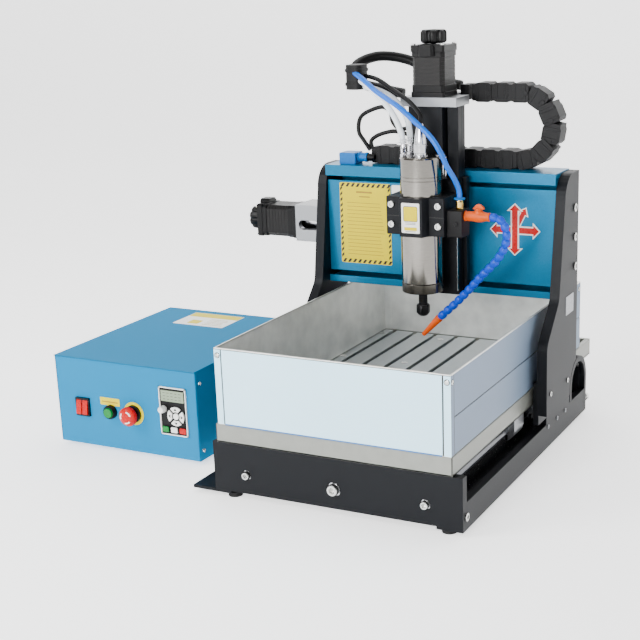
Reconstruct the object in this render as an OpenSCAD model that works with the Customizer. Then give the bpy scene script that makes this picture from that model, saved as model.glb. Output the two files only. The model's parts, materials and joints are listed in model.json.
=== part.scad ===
// Desktop engraving machine with a moving table in a water cistern, and its separate controller.
// Millimetres. Machine axes: X to the right, Y to the back, Z up. Every module draws in machine
// coordinates, whose zero is the bottom middle of the base's front face; place() then moves the
// part so that its origin is the middle of its own bounding box, on the surface it stands on.

/* [Base] */
// Width of the base
base_w = 400; // [380:1:410]
// Length of the base from front to back
base_d = 564; // [560:1:620]
// Height of the front and rear plates
base_h = 80.4; // [76:0.2:81]
// Thickness of the front and rear plates
base_t = 14; // [10:1:16]
// Height of the low side walls of the base channel
side_h = 41; // [30:1:44]
// Width of the floor-level fixing flange on the left side
flange_w = 40; // [36:1:50]
// Height of the feet
foot_h = 7; // [5:1:12]

/* [Gantry] */
// Thickness of each gantry side plate
plate_t = 16; // [12:0.5:20]
// Height of the beam's top face
beam_top = 437; // [437:1:445]
// Height of the beam's underside
beam_low = 239; // [236:1:240]

/* [Table] */
// Outer width of the cistern
tank_w = 371; // [360:1:374]
// Length of the cistern's side panels
tank_d = 574; // [570:1:580]
// Height of the cistern's walls above the tray
tank_h = 117; // [100:1:118]
// Thickness of the cistern's sheet
sheet_t = 2; // [1.5:0.5:2.5]
// Height of the tray's bottom edge
tray_low = 82; // [82:0.5:84]
// Height of the tray's top edge
tray_top = 110; // [110:0.5:112]
// Distance between the bed's slots
slot_pitch = 40.75; // [38:0.25:41]
// Width of one slot
slot_w = 8; // [6:0.5:10]

/* [Spindle] */
// Diameter of the spindle's body
spindle_d = 65; // [62:1:65]
// Sideways place of the spindle's axis
spindle_x = 11.5; // [0:0.5:14]
// Height of the lower end of the spindle's body
spindle_low = 257.5; // [255:0.5:262]
// Length of the spindle's body
spindle_len = 211; // [200:1:215]
// Diameter of the tool hole in the collet
tool_d = 6; // [3:0.5:8]

/* [Controller] */
// Width of the controller
box_w = 277; // [270:1:290]
// Depth of the controller
box_d = 334; // [300:1:340]
// Height of the controller's case
box_h = 150; // [140:1:170]

/* [Hidden] */
$fn = 64;

// levels and lines that several pieces share
w = base_w / 2;
plate_in = w;
plate_out = plate_in + plate_t;
plate_low = 72;
wing_t = 9;
wing_at = [518.5, 63];
wing_r = 45.4;
wing_hole_r = 36;
bolt_proud = 3;
box_x0 = -565;
box_y0 = 93;
lid_over = 3;
knob_len = 20;
motor_w = 56;
motor_len = 78;
y_screw_z = 50;
y_rail_x = 165;
y_rail_z = 60;
x_axis_y = 415;
x_axis_z = 335;
x_rail_z = [282, 388];
x_motor_face = -262;
z_axis_y = 356;
spindle_y = 300;
clamp_z = [351, 410];
nut_z = spindle_low - 39.5;
z_rod_x = 17;
z_rod_top = 462;
tray_x = [-190, 186.5];
tray_d = 632;
front_y = -4;
motor_z = 541 + 14;
sx = spindle_x;

// the part's frame: middle of the bounding box, on the floor
x_max = plate_out + bolt_proud;
y_max = base_d + motor_len + 2 + knob_len;
y_min = -5;
place_by = [-(box_x0 + x_max) / 2, -(y_min + y_max) / 2, foot_h];

black = [0.10, 0.10, 0.11];
blue = [0.05, 0.60, 0.90];
steel = [0.72, 0.73, 0.75];
orange = [0.95, 0.45, 0.08];
hose_blue = [0.10, 0.35, 0.80];

module place() translate(place_by) children();
module box(lo, hi) translate(lo) cube(hi - lo);
module rod_x(x0, x1, y, z, r) translate([x0, y, z]) rotate([0, 90, 0]) cylinder(h = x1 - x0, r = r);
module rod_y(y0, y1, x, z, r) translate([x, y0, z]) rotate([-90, 0, 0]) cylinder(h = y1 - y0, r = r);
module rod_z(z0, z1, x, y, r) translate([x, y, z0]) cylinder(h = z1 - z0, r = r);
module both_sides() for (s = [-1, 1]) scale([s, 1, 1]) children();

// ---- smooth tubes along hand-chosen routes ----
function unit(v) = v / norm(v);
function spline(a, b, c, d, t) = 0.5 * (2 * b + (c - a) * t + (2 * a - 5 * b + 4 * c - d) * t * t
    + (3 * b - a - 3 * c + d) * t * t * t);
function smooth(p, n) = [for (i = [0 : len(p) - 2]) for (k = [0 : n - 1])
    spline(p[max(i - 1, 0)], p[i], p[i + 1], p[min(i + 2, len(p) - 1)], k / n), p[len(p) - 1]];
function tangent(p, i) = unit(p[min(i + 1, len(p) - 1)] - p[max(i - 1, 0)]);
function normals(p, i, n) = i == len(p) ? [] :
    let (t = tangent(p, i), m = unit(n - (n * t) * t)) concat([m], normals(p, i + 1, m));
module tube(route, r, n = 3, sides = 8) {
    p = smooth(route, n);
    m = normals(p, 0, [0.1, 1, 0.2]);
    rings = len(p);
    points = [for (i = [0 : rings - 1]) for (k = [0 : sides - 1]) let (a = k * 360 / sides)
        p[i] + r * (cos(a) * m[i] + sin(a) * cross(tangent(p, i), m[i]))];
    faces = concat([[for (k = [0 : sides - 1]) k]],
        [for (i = [0 : rings - 2]) for (k = [0 : sides - 1]) let (j = (k + 1) % sides)
            [i * sides + k, (i + 1) * sides + k, (i + 1) * sides + j, i * sides + j]],
        [[for (k = [sides - 1 : -1 : 0]) (rings - 1) * sides + k]]);
    polyhedron(points, faces);
}

// ---- base ----
module base_end_plates() place() color(black) difference() {
    union() {
        box([-w, 0, 0], [w, base_t, base_h]);
        box([wing_t + 0.1 - w, base_d - base_t, 0], [w - wing_t - 0.1, base_d, base_h]);
        rear_wings();
    }
    box([-173, -1, -1], [160, base_t + 1, 4]);
    for (x = [-145, 143]) rod_y(-1, 6, x, 33, 8);
    rod_y(-1, 6, 0, 33, 11);
    rod_y(base_d - base_t - 1, base_d + 1, 0, y_screw_z, 8.05);
}
module base_channel() place() color(black) difference() {
    union() {
        box([-w, base_t, 0], [w, base_d - base_t, 5]);
        box([-w - flange_w, 0, 0], [-w, base_d - base_t, 5]);
        both_sides() {
            box([w - 12, base_t, 0], [w, base_d - base_t, side_h]);
            box([w - wing_t, 351, side_h - 1], [w, 470, 54]);
            box([w - wing_t, 312, 53], [w, 445, 122]);
        }
    }
    for (y = [120, 420]) rod_z(-1, 6, -w - 22, y, 4.5);
}
// the arched plates beside the rear plate, each with a round-topped hole
module rear_wings() both_sides() translate([w - wing_t, 0, 0]) rotate([90, 0, 90]) linear_extrude(wing_t)
    difference() {
        union() {
            translate(wing_at) circle(r = wing_r);
            translate([wing_at[0] - wing_r, side_h + 0.1]) square([2 * wing_r, wing_at[1] - side_h]);
            translate([base_d - base_t + 0.1, 0]) square([base_t - 0.2, wing_at[1]]);
        }
        translate(wing_at) circle(r = wing_hole_r);
        translate([wing_at[0] - wing_hole_r, side_h]) square([2 * wing_hole_r, wing_at[1] - side_h]);
        translate([wing_at[0] - wing_r - 1, -1]) square([wing_r, side_h + 1.1]);
        translate([wing_at[0] - 2, -1]) square([base_d - base_t - wing_at[0] + 2.1, side_h + 1.1]);
    }
module feet() place() color(black) {
    for (x = [-174, 174], y = [base_t, base_d - base_t]) rod_z(-foot_h, 0, x, y, 11);
    for (x = [box_x0 + 30, box_x0 + box_w - 30], y = [box_y0 + 30, box_y0 + box_d - 30])
        rod_z(-foot_h, 0, x, y, 11);
}
module y_guide_rails() place() color(steel) both_sides() {
    rod_y(base_t, base_d - base_t, y_rail_x, y_rail_z, 8);
    box([y_rail_x - 4, base_t, 5], [y_rail_x + 4, base_d - base_t, y_rail_z - 7]);
}
module motor_body() difference() {
    union() {
        box([-motor_w / 2, -motor_w / 2, 0], [motor_w / 2, motor_w / 2, 8]);
        box([-motor_w / 2 + 1, -motor_w / 2 + 1, 8], [motor_w / 2 - 1, motor_w / 2 - 1, motor_len - 8]);
        box([-motor_w / 2, -motor_w / 2, motor_len - 8], [motor_w / 2, motor_w / 2, motor_len]);
    }
    translate([0, 0, -1]) cylinder(h = motor_len + 2, r = 5);
}
module frame_motors() place() color(black) {
    translate([0, base_d, y_screw_z]) rotate([-90, 0, 0]) motor_body();
    translate([x_motor_face, x_axis_y, x_axis_z]) rotate([0, -90, 0]) motor_body();
}
module y_ball_screw() place() color(steel) {
    rod_y(base_t + 6, base_d - base_t - 6, 0, y_screw_z, 8);
    rod_y(base_d - base_t - 6, base_d, 0, y_screw_z, 8);
    rod_y(base_d, y_max - knob_len, 0, y_screw_z, 4);
    translate([0, y_max - knob_len, y_screw_z]) rotate([-90, 0, 0]) hand_knob();
}
module hand_knob() difference() {
    cylinder(h = knob_len, r = 20);
    for (a = [0 : 45 : 315]) rotate([0, 0, a]) translate([22.5, 0, -1]) cylinder(h = knob_len + 2, r = 5);
}

// ---- gantry ----
function arc(y, z, r, a0, a1) = [for (k = [0 : 8]) let (a = a0 + (a1 - a0) * k / 8)
    [y + r * cos(a), z + r * sin(a)]];
module plate_outline() difference() {
    polygon(concat([[304, plate_low], [303, 133]], arc(333, 173, 30, 180, 135),
        arc(331, 257, 30, -45, -8), arc(421, 397, 38, 180, 90), [[451, 435], [451, plate_low]]));
    translate([466.5, 80.5]) circle(r = 46.5);
    translate([420, plate_low - 1]) square([40, 9.5]);
}
module side_plate() difference() {
    translate([plate_in, 0, 0]) rotate([90, 0, 90]) linear_extrude(plate_t) plate_outline();
    rod_x(w - 10, plate_in + 10, x_axis_y, x_axis_z, 6.05);
}
module gantry_right_plate() place() color(black) side_plate();
module gantry_left_plate() place() color(black) difference() {
    scale([-1, 1, 1]) side_plate();
    rod_x(-plate_out - 1, -plate_in + 1, x_axis_y, x_axis_z, 14);
}
module gantry_beam() place() color(blue) {
    box([-plate_in, 383, beam_top - 8], [plate_in, 450, beam_top]);
    box([-plate_in, 383, beam_top - 18], [plate_in, 386, beam_top - 8]);
    box([-plate_in, 444, beam_low + 8], [plate_in, 450, beam_top - 8]);
    box([-plate_in, 385, beam_low], [plate_in, 450, beam_low + 8]);
    box([-plate_in, 385, beam_low + 8], [plate_in, 388, beam_low + 11]);
    box([-plate_in, 390, 258], [plate_in, 393, 411]);
}
module x_guide_rails() place() color(steel)
    for (z = x_rail_z) rod_x(-plate_in, plate_in, x_axis_y, z, 8);
module x_motor_bracket() place() color(steel) difference() {
    box([x_motor_face, x_axis_y - 31, x_axis_z - 31], [-plate_out, x_axis_y + 31, x_axis_z + 31]);
    rod_x(x_motor_face - 1, -plate_out + 1, x_axis_y, x_axis_z, 20);
    hull() {
        rod_y(x_axis_y - 40, x_axis_y, -248, x_axis_z - 3, 8);
        rod_y(x_axis_y - 40, x_axis_y, -226, x_axis_z - 3, 8);
    }
}
module x_ball_screw() place() color(steel) {
    rod_x(x_motor_face + 4, plate_in + 9, x_axis_y, x_axis_z, 6);
    rod_x(x_motor_face + 6, x_motor_face + 40, x_axis_y, x_axis_z, 12.5);
    rod_x(x_motor_face - motor_len - 2, x_motor_face + 4, x_axis_y, x_axis_z, 4);
    translate([x_motor_face - motor_len - 2, x_axis_y, x_axis_z]) rotate([0, -90, 0]) hand_knob();
}
module frame_bolts() place() color(steel) {
    for (x = [-145, 143]) rod_y(y_min + 1, 6, x, 33, 6.5);
    rod_y(y_min, 6, 0, 33, 9);
    rod_x(plate_out, plate_out + bolt_proud, 432, 332, 6.5);
    both_sides() {
        for (p = [[430, 379], [435, 284]]) rod_x(plate_out, plate_out + bolt_proud, p[0], p[1], 6.5);
        for (p = [[321, 104.5], [405, 102.3]])
            rod_x(plate_out, plate_out + bolt_proud - 1, p[0], p[1], 4);
        for (y = [360, 405, 447]) rod_x(w, w + 1.5, y, 35.5, 3.5);
        rod_x(w, w + 2.5, 12, 20, 6);
        rod_y(base_d, base_d + 13, 192, 27, 4);
    }
}

// ---- cables on the frame ----
loop_route = [[-136, 425, 458], [-148, 425, 474], [-156, 425, 486], [-156, 425, 502], [-150, 425, 514],
    [-134, 425, 523], [-112, 425, 529], [-98, 425, 522], [-94, 425, 506], [-82, 425, 494],
    [-62, 425, 497], [-46, 425, 500], [-32, 427, 492], [-24, 430, 480], [-22, 430, 469]];
short_route = [[-134.5, 430, 460], [-137, 431, 472], [-126, 432, 481], [-108, 432, 487], [-92, 432, 489],
    [-70, 434, 484], [-58, 436, 477], [-56, 436, 469]];
module cable_socket() place() color(blue) {
    box([-180, 396, beam_top], [-150, 424, beam_top + 19]);
    rod_x(-150, -133, 410, beam_top + 11, 8);
}
module frame_cables() place() color(black) {
    tube(loop_route, 3.5, 2);
    tube(short_route, 3.5, 2);
}
chain_h = 30;
chain_y = [412, 447];
bend_x = 130;
bend_r = 52;
chain_low = beam_top + chain_h / 2;
chain_end_x = 31.5;
module drag_chain() place() color(black) {
    box([-130, chain_y[0], beam_top], [bend_x, chain_y[1], beam_top + chain_h]);
    box([chain_end_x, chain_y[0], beam_top + 2 * bend_r],
        [bend_x, chain_y[1], beam_top + 2 * bend_r + chain_h]);
    translate([bend_x, chain_y[0], chain_low + bend_r]) rotate([-90, 0, 0])
        rotate([0, 0, -90]) rotate_extrude(angle = 180)
            translate([bend_r - chain_h / 2, 0]) square([chain_h, chain_y[1] - chain_y[0]]);
}

// ---- controller ----
bx = box_x0;
by = box_y0;
row_z = 66;
rocker_x = [-519, -507];
start_x = -457;
stop_x = -412;
pad_x = [-358.7, -307.6];
pad_z = [39.4, 119.6];
ring_at = [pad_x[0] + 31, pad_z[0] + 33];
knob_at = [pad_x[0] + 9, pad_z[0] + 44];
key_x = [for (u = [9.8, 26, 42.5]) pad_x[0] + u];
key_z = pad_z[0] + 9.5;
module controller_case() place() color(blue) {
    box([bx + 1.5, by + 1.5, 0], [bx + box_w - 1.5, by + box_d - 1.5, 1.5]);
    box([bx + 1.5, by, 0], [bx + box_w - 1.5, by + 1.5, box_h - 1.5]);
    box([bx + 1.5, by + box_d - 1.5, 0], [bx + box_w - 1.5, by + box_d, box_h - 1.5]);
}
module controller_lid() place() color(blue) {
    box([bx, by - lid_over, box_h - 1.5], [bx + box_w, by + box_d, box_h]);
    box([bx, by, 0], [bx + 1.5, by + box_d, box_h - 1.5]);
    box([bx + box_w - 1.5, by, 0], [bx + box_w, by + box_d, box_h - 1.5]);
}
module controller_electronics() place() color(steel) {
    box([bx + 20, by + 60, 1.5], [bx + 120, by + 260, 51.5]);
    box([bx + 160, by + 60, 1.5], [bx + 245, by + 200, 111.5]);
}
module switch_bezels() place() color(black) {
    difference() {
        box([-526.5, by - 5, row_z - 15.5], [-499.5, by, row_z + 15.5]);
        box([-524.5, by - 6, row_z - 13.5], [-501.5, by + 1, row_z + 13.5]);
    }
    difference() {
        rod_y(by - 9, by, start_x, row_z - 2, 11.5);
        rod_y(by - 10, by + 1, start_x, row_z - 2, 9);
    }
    difference() {
        rod_y(by - 5, by, stop_x, row_z, 16);
        rod_y(by - 6, by + 1, stop_x, row_z, 9);
    }
}
module rocker(x) {
    translate([x - 5.2, by - 6.5, row_z - 12]) cube([10.4, 4.3, 24]);
    rod_x(x - 5.4, x + 5.4, by - 4.35, row_z, 1.5);
}
module rocker_left() place() color("red") rocker(rocker_x[0]);
module rocker_right() place() color("red") rocker(rocker_x[1]);
module start_button() place() color("green") rod_y(by - 12, by - 4, start_x, row_z - 2, 8.5);
module stop_button() place() color("red") {
    rod_y(by - 24, by - 12, stop_x, row_z, 15);
    rod_y(by - 12, by - 5, stop_x, row_z, 8);
}
module key_slab(i, grow, y0, y1)
    box([key_x[i] - 6 - grow, y0, key_z - 4.5 - grow], [key_x[i] + 6 + grow, y1, key_z + 4.5 + grow]);
module keypad_panel() place() color(black) difference() {
    box([pad_x[0], by - 3, pad_z[0]], [pad_x[1], by, pad_z[1]]);
    for (i = [0 : 2]) key_slab(i, 0.4, by - 4, by - 0.8);
    difference() {
        rod_y(by - 4, by - 0.8, ring_at[0], ring_at[1], 16.2);
        rod_y(by - 5, by, ring_at[0], ring_at[1], 6.9);
    }
    rod_y(by - 4, by - 0.8, ring_at[0], ring_at[1], 6.1);
    rod_y(by - 4, by - 0.8, knob_at[0], knob_at[1], 3.5);
}
key_y = [by - 4.2, by - 2];
module arrow_key(turn) place() color("white") intersection() {
    difference() {
        rod_y(key_y[0], key_y[1], ring_at[0], ring_at[1], 15.8);
        rod_y(key_y[0] - 1, key_y[1] + 1, ring_at[0], ring_at[1], 7.4);
    }
    translate([ring_at[0], 0, ring_at[1]]) rotate([0, turn, 0]) translate([0, key_y[1], 0]) rotate([90, 0, 0])
        linear_extrude(key_y[1] - key_y[0]) polygon([[0, 0.9], [16, 16.9], [-16, 16.9]]);
}
module key_up() arrow_key(0);
module key_left() arrow_key(-90);
module key_down() arrow_key(180);
module key_right() arrow_key(90);
module key_enter() place() color("white") rod_y(key_y[0], key_y[1], ring_at[0], ring_at[1], 5.7);
module key_run() place() color("green") key_slab(0, 0, key_y[0], key_y[1]);
module key_mode() place() color("white") key_slab(1, 0, key_y[0], key_y[1]);
module key_stop() place() color("red") key_slab(2, 0, key_y[0], key_y[1]);
module speed_knob() place() color("white") {
    rod_y(by - 14, by - 3.4, knob_at[0], knob_at[1], 5.5);
    rod_y(by - 3.4, by - 1.2, knob_at[0], knob_at[1], 3);
}

// ---- table ----
tank_x = tank_w / 2;
bed_top = tray_top - 1.5;
bed_t = 16;
slot_deep = 9;
lip = 8;
seam = 0.2;
bed_x = [tray_x[0] + lip + 0.5, tray_x[1] - lip - 0.5];
bed_y = [front_y + lip + 0.5, 561];
slots = [for (i = [-4 : 4]) i * slot_pitch];
module bed_base() place() color(steel) {
    box([bed_x[0], bed_y[0], bed_top - bed_t], [bed_x[1], bed_y[1], bed_top - slot_deep]);
    for (y = [40, 280, 520]) box([bed_x[0] + 10, y, tray_low + 4], [bed_x[1] - 10, y + 30, bed_top - bed_t]);
}
module bed_bars() place() color(steel) {
    for (i = [0 : 9]) {
        from = i == 0 ? bed_x[0] : slots[i - 1] + slot_w / 2;
        to = i == 9 ? bed_x[1] : slots[i] - slot_w / 2;
        box([from, bed_y[0], bed_top - slot_deep], [to, bed_y[1], bed_top]);
    }
}
module drip_tray() place() color(steel) difference() {
    box([tray_x[0], front_y, tray_low], [tray_x[1], front_y + tray_d, tray_top]);
    box([tray_x[0] + 3, front_y + 3, tray_low + 4], [tray_x[1] - 3, front_y + tray_d - 3, bed_top]);
    box([tray_x[0] + lip, front_y + lip, bed_top - 1],
        [tray_x[1] - lip, front_y + tray_d - lip, tray_top + 1]);
}
module cistern_panels() place() color(steel) {
    box([-tank_x, front_y, tray_top], [tank_x, front_y + sheet_t, tray_top + tank_h]);
    box([sheet_t + seam - tank_x, 563, tray_top],
        [tank_x - sheet_t - seam, 563 + sheet_t, tray_top + tank_h]);
    both_sides() box([tank_x - sheet_t, front_y + sheet_t + seam, tray_top],
        [tank_x, front_y + tank_d, tray_top + tank_h]);
}
module y_bearing_blocks() place() color(steel) {
    both_sides() for (y = [252, 360]) difference() {
        union() {
            rod_y(y, y + 42, y_rail_x, y_rail_z, 16);
            box([y_rail_x - 17, y, y_rail_z], [y_rail_x + 17, y + 42, tray_low]);
        }
        rod_y(y - 1, y + 43, y_rail_x, y_rail_z, 8.05);
        box([y_rail_x - 6, y - 1, y_rail_z - 20], [y_rail_x + 6, y + 43, y_rail_z - 4]);
    }
    difference() {
        box([-24, 300, y_screw_z - 16], [24, 340, tray_low]);
        rod_y(299, 341, 0, y_screw_z, 8.6);
    }
}

// ---- X carriage and Z column ----
module x_carriage_plate() place() color(black) {
    box([sx - 42, 364, 430], [sx + 42, 376, motor_z - 14]);
    box([sx - 49, 364, 243], [sx + 49, 376, 430]);
    box([sx - 38, 376, 412.5], [sx + 38, 396, 417.5]);
    box([sx - 38, 376, 251.5], [sx + 38, 396, 256.5]);
    box([sx - 38, 396, 251.5], [sx + 38, 401, 417.5]);
}
module x_bearing_blocks() place() color(steel) {
    for (z = x_rail_z) difference() {
        box([sx - 35, 401, z - 15], [sx + 35, x_axis_y + 15, z + 15]);
        rod_x(sx - 36, sx + 36, x_axis_y, z, 8.05);
    }
    difference() {
        box([sx - 22, 401, x_axis_z - 16], [sx + 22, x_axis_y + 15, x_axis_z + 16]);
        rod_x(sx - 23, sx + 23, x_axis_y, x_axis_z, 6.6);
    }
}
module z_column() place() color(black) {
    for (s = [-1, 1]) box([sx + s * 33 - 9, 349, 256], [sx + s * 33 + 9, 364, motor_z - 14]);
    difference() {
        box([sx - 42, 349, 243], [sx + 42, 364, 256]);
        rod_z(242, 257, sx, z_axis_y, 6.05);
    }
    difference() {
        box([sx - 20, 338, z_rod_top], [sx + 20, 364, motor_z - 14]);
        rod_z(z_rod_top - 1, motor_z, sx, z_axis_y, 7);
    }
}
module z_top_plate() place() color(steel) difference() {
    union() {
        box([sx - 47, 330, motor_z - 14], [sx + 47, 384, motor_z]);
        box([2, 384, motor_z - 14], [chain_end_x - 0.5, chain_y[1], motor_z]);
    }
    rod_z(motor_z - 15, motor_z + 1, sx, z_axis_y, 7);
}
module z_motor() place() color(black) translate([sx, z_axis_y, motor_z]) motor_body();
module z_guide_rods() place() color(steel)
    for (s = [-1, 1]) rod_z(256, z_rod_top, sx + s * z_rod_x, z_axis_y, 5);
module z_ball_screw() place() color(steel) {
    rod_z(244, motor_z, sx, z_axis_y, 6);
    rod_z(motor_z, motor_z + motor_len + 2, sx, z_axis_y, 4);
    translate([sx, z_axis_y, motor_z + motor_len + 2]) hand_knob();
}
harness_route = [[26, 430, 565], [4, 431, 570], [-28, 430, 588], [-66, 422, 606], [-104, 402, 612],
    [-128, 374, 602], [-126, 352, 584], [-104, 346, 572], [-74, 345, 566], [-54, 345, 562], [-36, 346, 559]];
module cable_harness() place() color(black) tube(harness_route, 8, 3, 10);

// ---- Z carriage ----
module z_slide_plate() place() color(black) {
    box([sx - 43.5, 336, 252], [sx + 43.5, 346, 430]);
    for (z = [330, 396]) difference() {
        box([sx - 23, 346, z], [sx + 23, 362, z + 34]);
        for (s = [-1, 1]) rod_z(z - 1, z + 35, sx + s * z_rod_x, z_axis_y, 5.05);
        rod_z(z - 1, z + 35, sx, z_axis_y, 6.6);
    }
}
module clamp_outline() polygon([[-48, 274], [-24, 274], [-19, 258], [19, 258], [24, 274], [48, 274],
    [48, 299.5], [-48, 299.5]]);
module spindle_clamp() place() color(black) difference() {
    translate([sx, 0, clamp_z[0]]) {
        linear_extrude(clamp_z[1] - clamp_z[0]) clamp_outline();
        translate([-48, 300.5, 0]) cube([96, 35.5, clamp_z[1] - clamp_z[0]]);
    }
    rod_z(clamp_z[0] - 1, clamp_z[1] + 1, sx, spindle_y, spindle_d / 2 + 0.02);
}
module clamp_screws() place() color(steel)
    for (x = [-39, 39], z = [367, 398]) rod_y(270, 274, sx + x, z, 4.5);
module spindle_body() place() color(steel) difference() {
    rod_z(spindle_low, spindle_low + spindle_len, sx, spindle_y, spindle_d / 2);
    rod_z(spindle_low - 1, spindle_low + 60, sx, spindle_y, 7.05);
}
barbs = [[-13, 290], [-11, 311]];
module pipe_fittings() place() color(steel) {
    for (p = barbs) rod_z(spindle_low + spindle_len, spindle_low + spindle_len + 20, p[0], p[1], 4.5);
    rod_z(spindle_low + spindle_len, 519, sx, spindle_y, 9.5);
    rod_z(391, 399, 75, spindle_y, 6);
    rod_z(399, 405, 75, spindle_y, 7);
}
module coolant_manifold() place() color(black)
    box([sx + 48, 284, 348], [sx + 73.5, 318, 391]);
module coolant_valve() place() color(orange) {
    rod_x(sx + 73.5, 90, spindle_y, 381, 8);
    rod_x(90, 118, spindle_y, 381, 7.2);
    rod_x(118, 125, spindle_y, 381, 6);
    rod_z(381, 390, 106, spindle_y, 6);
}
module valve_lever() place() color(orange) {
    rod_z(390.4, 394, 106, spindle_y, 6);
    box([96, spindle_y - 3, 394], [116, spindle_y + 3, 400]);
}
line_routes = [
    [[-14, 290, 489], [-15, 290, 501], [-23, 291, 521], [-38, 295, 541], [-60, 303, 559],
        [-86, 314, 575], [-108, 327, 582]],
    [[-11, 311, 489], [-11, 311, 501], [-15, 312, 522], [-28, 315, 543], [-50, 321, 558],
        [-78, 327, 567], [-104, 331, 571]],
    [[11.5, 300, 519.5], [10, 302, 533], [-14, 312, 552], [-44, 324, 566], [-76, 332, 582],
        [-110, 336, 588]]];
line_r = [4.7, 4.7, 3.5];
tube_route = [[75, 300, 405.5], [74.5, 299, 420], [70, 292, 438], [62, 284, 456], [56, 279, 474],
    [40, 277, 500], [12, 277, 525], [-17, 279, 547], [-54, 288, 566], [-84, 304, 582], [-112, 322, 594]];
module spindle_lines() place() color([0.85, 0.87, 0.9]) for (i = [0 : 2]) tube(line_routes[i], line_r[i], 3);
module air_tube() place() color(hose_blue) tube(tube_route, 4.2, 3);
module spindle_shaft() place() color(steel) difference() {
    union() {
        rod_z(nut_z, spindle_low + 50, sx, spindle_y, 7);
        rod_z(nut_z, nut_z + 18, sx, spindle_y, 10.5);
    }
    rod_z(nut_z - 1, nut_z + 20, sx, spindle_y, tool_d / 2);
}

// ---- jointed coolant hose ----
hose_points = [[136, 300, 381], [148, 300, 370], [151, 300, 345], [136, 300, 316], [112, 300, 291],
    [90, 300, 266], [65, 300, 240]];
nozzle_points = [[65, 300, 240], [37, 300, 214], [24, 300, 200], [11, 300, 186]];
module link(a, b, r, gap = 0) {
    d = b - a;
    length = norm(d);
    translate(a) rotate([0, acos(d[2] / length), atan2(d[1], d[0])]) cylinder(h = length - gap, r = r);
}
module coolant_hose() place() color(hose_blue) {
    n = len(hose_points);
    link([125.6, 300, 381], hose_points[0], 6);
    for (i = [0 : n - 2]) translate(hose_points[i]) sphere(r = 6.5);
    for (i = [0 : n - 2]) link(hose_points[i], hose_points[i + 1], 6, i == n - 2 ? 7.5 : 0);
}
module coolant_nozzle() place() {
    color(hose_blue) translate(nozzle_points[0]) sphere(r = 6.5);
    color(hose_blue) rod_y(spindle_y - 7, spindle_y + 7, nozzle_points[0][0], nozzle_points[0][2], 2.5);
    color(hose_blue) link(nozzle_points[0], nozzle_points[1], 6);
    color(orange) link(nozzle_points[1], nozzle_points[3], 4.5);
}

base_end_plates();
base_channel();
feet();
y_guide_rails();
frame_motors();
gantry_left_plate();
gantry_right_plate();
gantry_beam();
x_guide_rails();
x_motor_bracket();
frame_bolts();
cable_socket();
frame_cables();
drag_chain();
controller_case();
controller_lid();
controller_electronics();
switch_bezels();
keypad_panel();
rocker_left();
rocker_right();
start_button();
stop_button();
speed_knob();
key_up();
key_left();
key_down();
key_right();
key_enter();
key_run();
key_mode();
key_stop();
bed_base();
bed_bars();
drip_tray();
cistern_panels();
y_bearing_blocks();
y_ball_screw();
x_carriage_plate();
x_bearing_blocks();
z_column();
z_top_plate();
z_motor();
z_guide_rods();
cable_harness();
x_ball_screw();
z_ball_screw();
z_slide_plate();
spindle_clamp();
clamp_screws();
spindle_body();
pipe_fittings();
coolant_manifold();
coolant_valve();
spindle_lines();
air_tube();
spindle_shaft();
valve_lever();
coolant_hose();
coolant_nozzle();
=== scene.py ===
"""Looks of the desktop engraving machine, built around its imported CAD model.

Lengths are in millimetres in the machine's own axes, as in the part's source: X to the right, Y to
the back, Z up, from the bottom middle of the base's front face. at() turns them into the frame.
"""

import json
import math

import bmesh
import bpy
from mathutils import Matrix, Vector


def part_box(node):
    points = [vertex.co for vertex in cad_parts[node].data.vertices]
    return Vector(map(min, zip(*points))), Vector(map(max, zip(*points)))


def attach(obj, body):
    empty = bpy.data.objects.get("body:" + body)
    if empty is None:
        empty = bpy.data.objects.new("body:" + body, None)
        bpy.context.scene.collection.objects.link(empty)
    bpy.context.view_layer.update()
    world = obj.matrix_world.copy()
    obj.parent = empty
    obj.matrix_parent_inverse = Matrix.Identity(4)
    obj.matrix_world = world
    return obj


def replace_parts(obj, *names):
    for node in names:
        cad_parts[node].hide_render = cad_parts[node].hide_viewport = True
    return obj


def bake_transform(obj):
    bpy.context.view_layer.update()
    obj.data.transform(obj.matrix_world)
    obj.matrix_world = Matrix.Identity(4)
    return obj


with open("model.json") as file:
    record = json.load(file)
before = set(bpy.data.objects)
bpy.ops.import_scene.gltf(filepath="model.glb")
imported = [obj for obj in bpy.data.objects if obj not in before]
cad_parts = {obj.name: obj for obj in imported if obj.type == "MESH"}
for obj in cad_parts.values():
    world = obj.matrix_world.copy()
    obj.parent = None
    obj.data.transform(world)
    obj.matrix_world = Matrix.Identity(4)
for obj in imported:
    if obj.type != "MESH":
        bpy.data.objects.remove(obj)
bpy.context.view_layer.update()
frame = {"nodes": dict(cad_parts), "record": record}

# Sides, axes and heights that several pieces share.
MM = 0.001
UP, FRONTWARD = (0, 0, 1), (0, -1, 0)
BASE_SIDE, PLATE_SIDE = 200, 216
BEAM_FRONT, CISTERN_SIDE = 390, 184.6
SPIN_X, SPIN_Y = 11.5, 300
SPIN_LOW, SPIN_TOP = 257.5, 468.5
X_SCREW_Y, X_SCREW_Z = 415, 335
Y_SCREW_Z, Z_SCREW_Y = 50, 356
TAP_Z = 381
CASE_FRONT, LID_TOP = 93, 150
base_low, base_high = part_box("base_end_plates")
ZERO = Vector(((base_low.x + base_high.x) / 2, base_low.y, base_low.z))


def at(x, y, z):
    """A point in the frame, in metres, from its place on the machine in millimetres."""
    return ZERO + Vector((x, y, z)) * MM


def corners(node):
    """The lowest and highest corner of a CAD node, in the machine's millimetres."""
    low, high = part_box(node)
    return (low - ZERO) / MM, (high - ZERO) / MM


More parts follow.
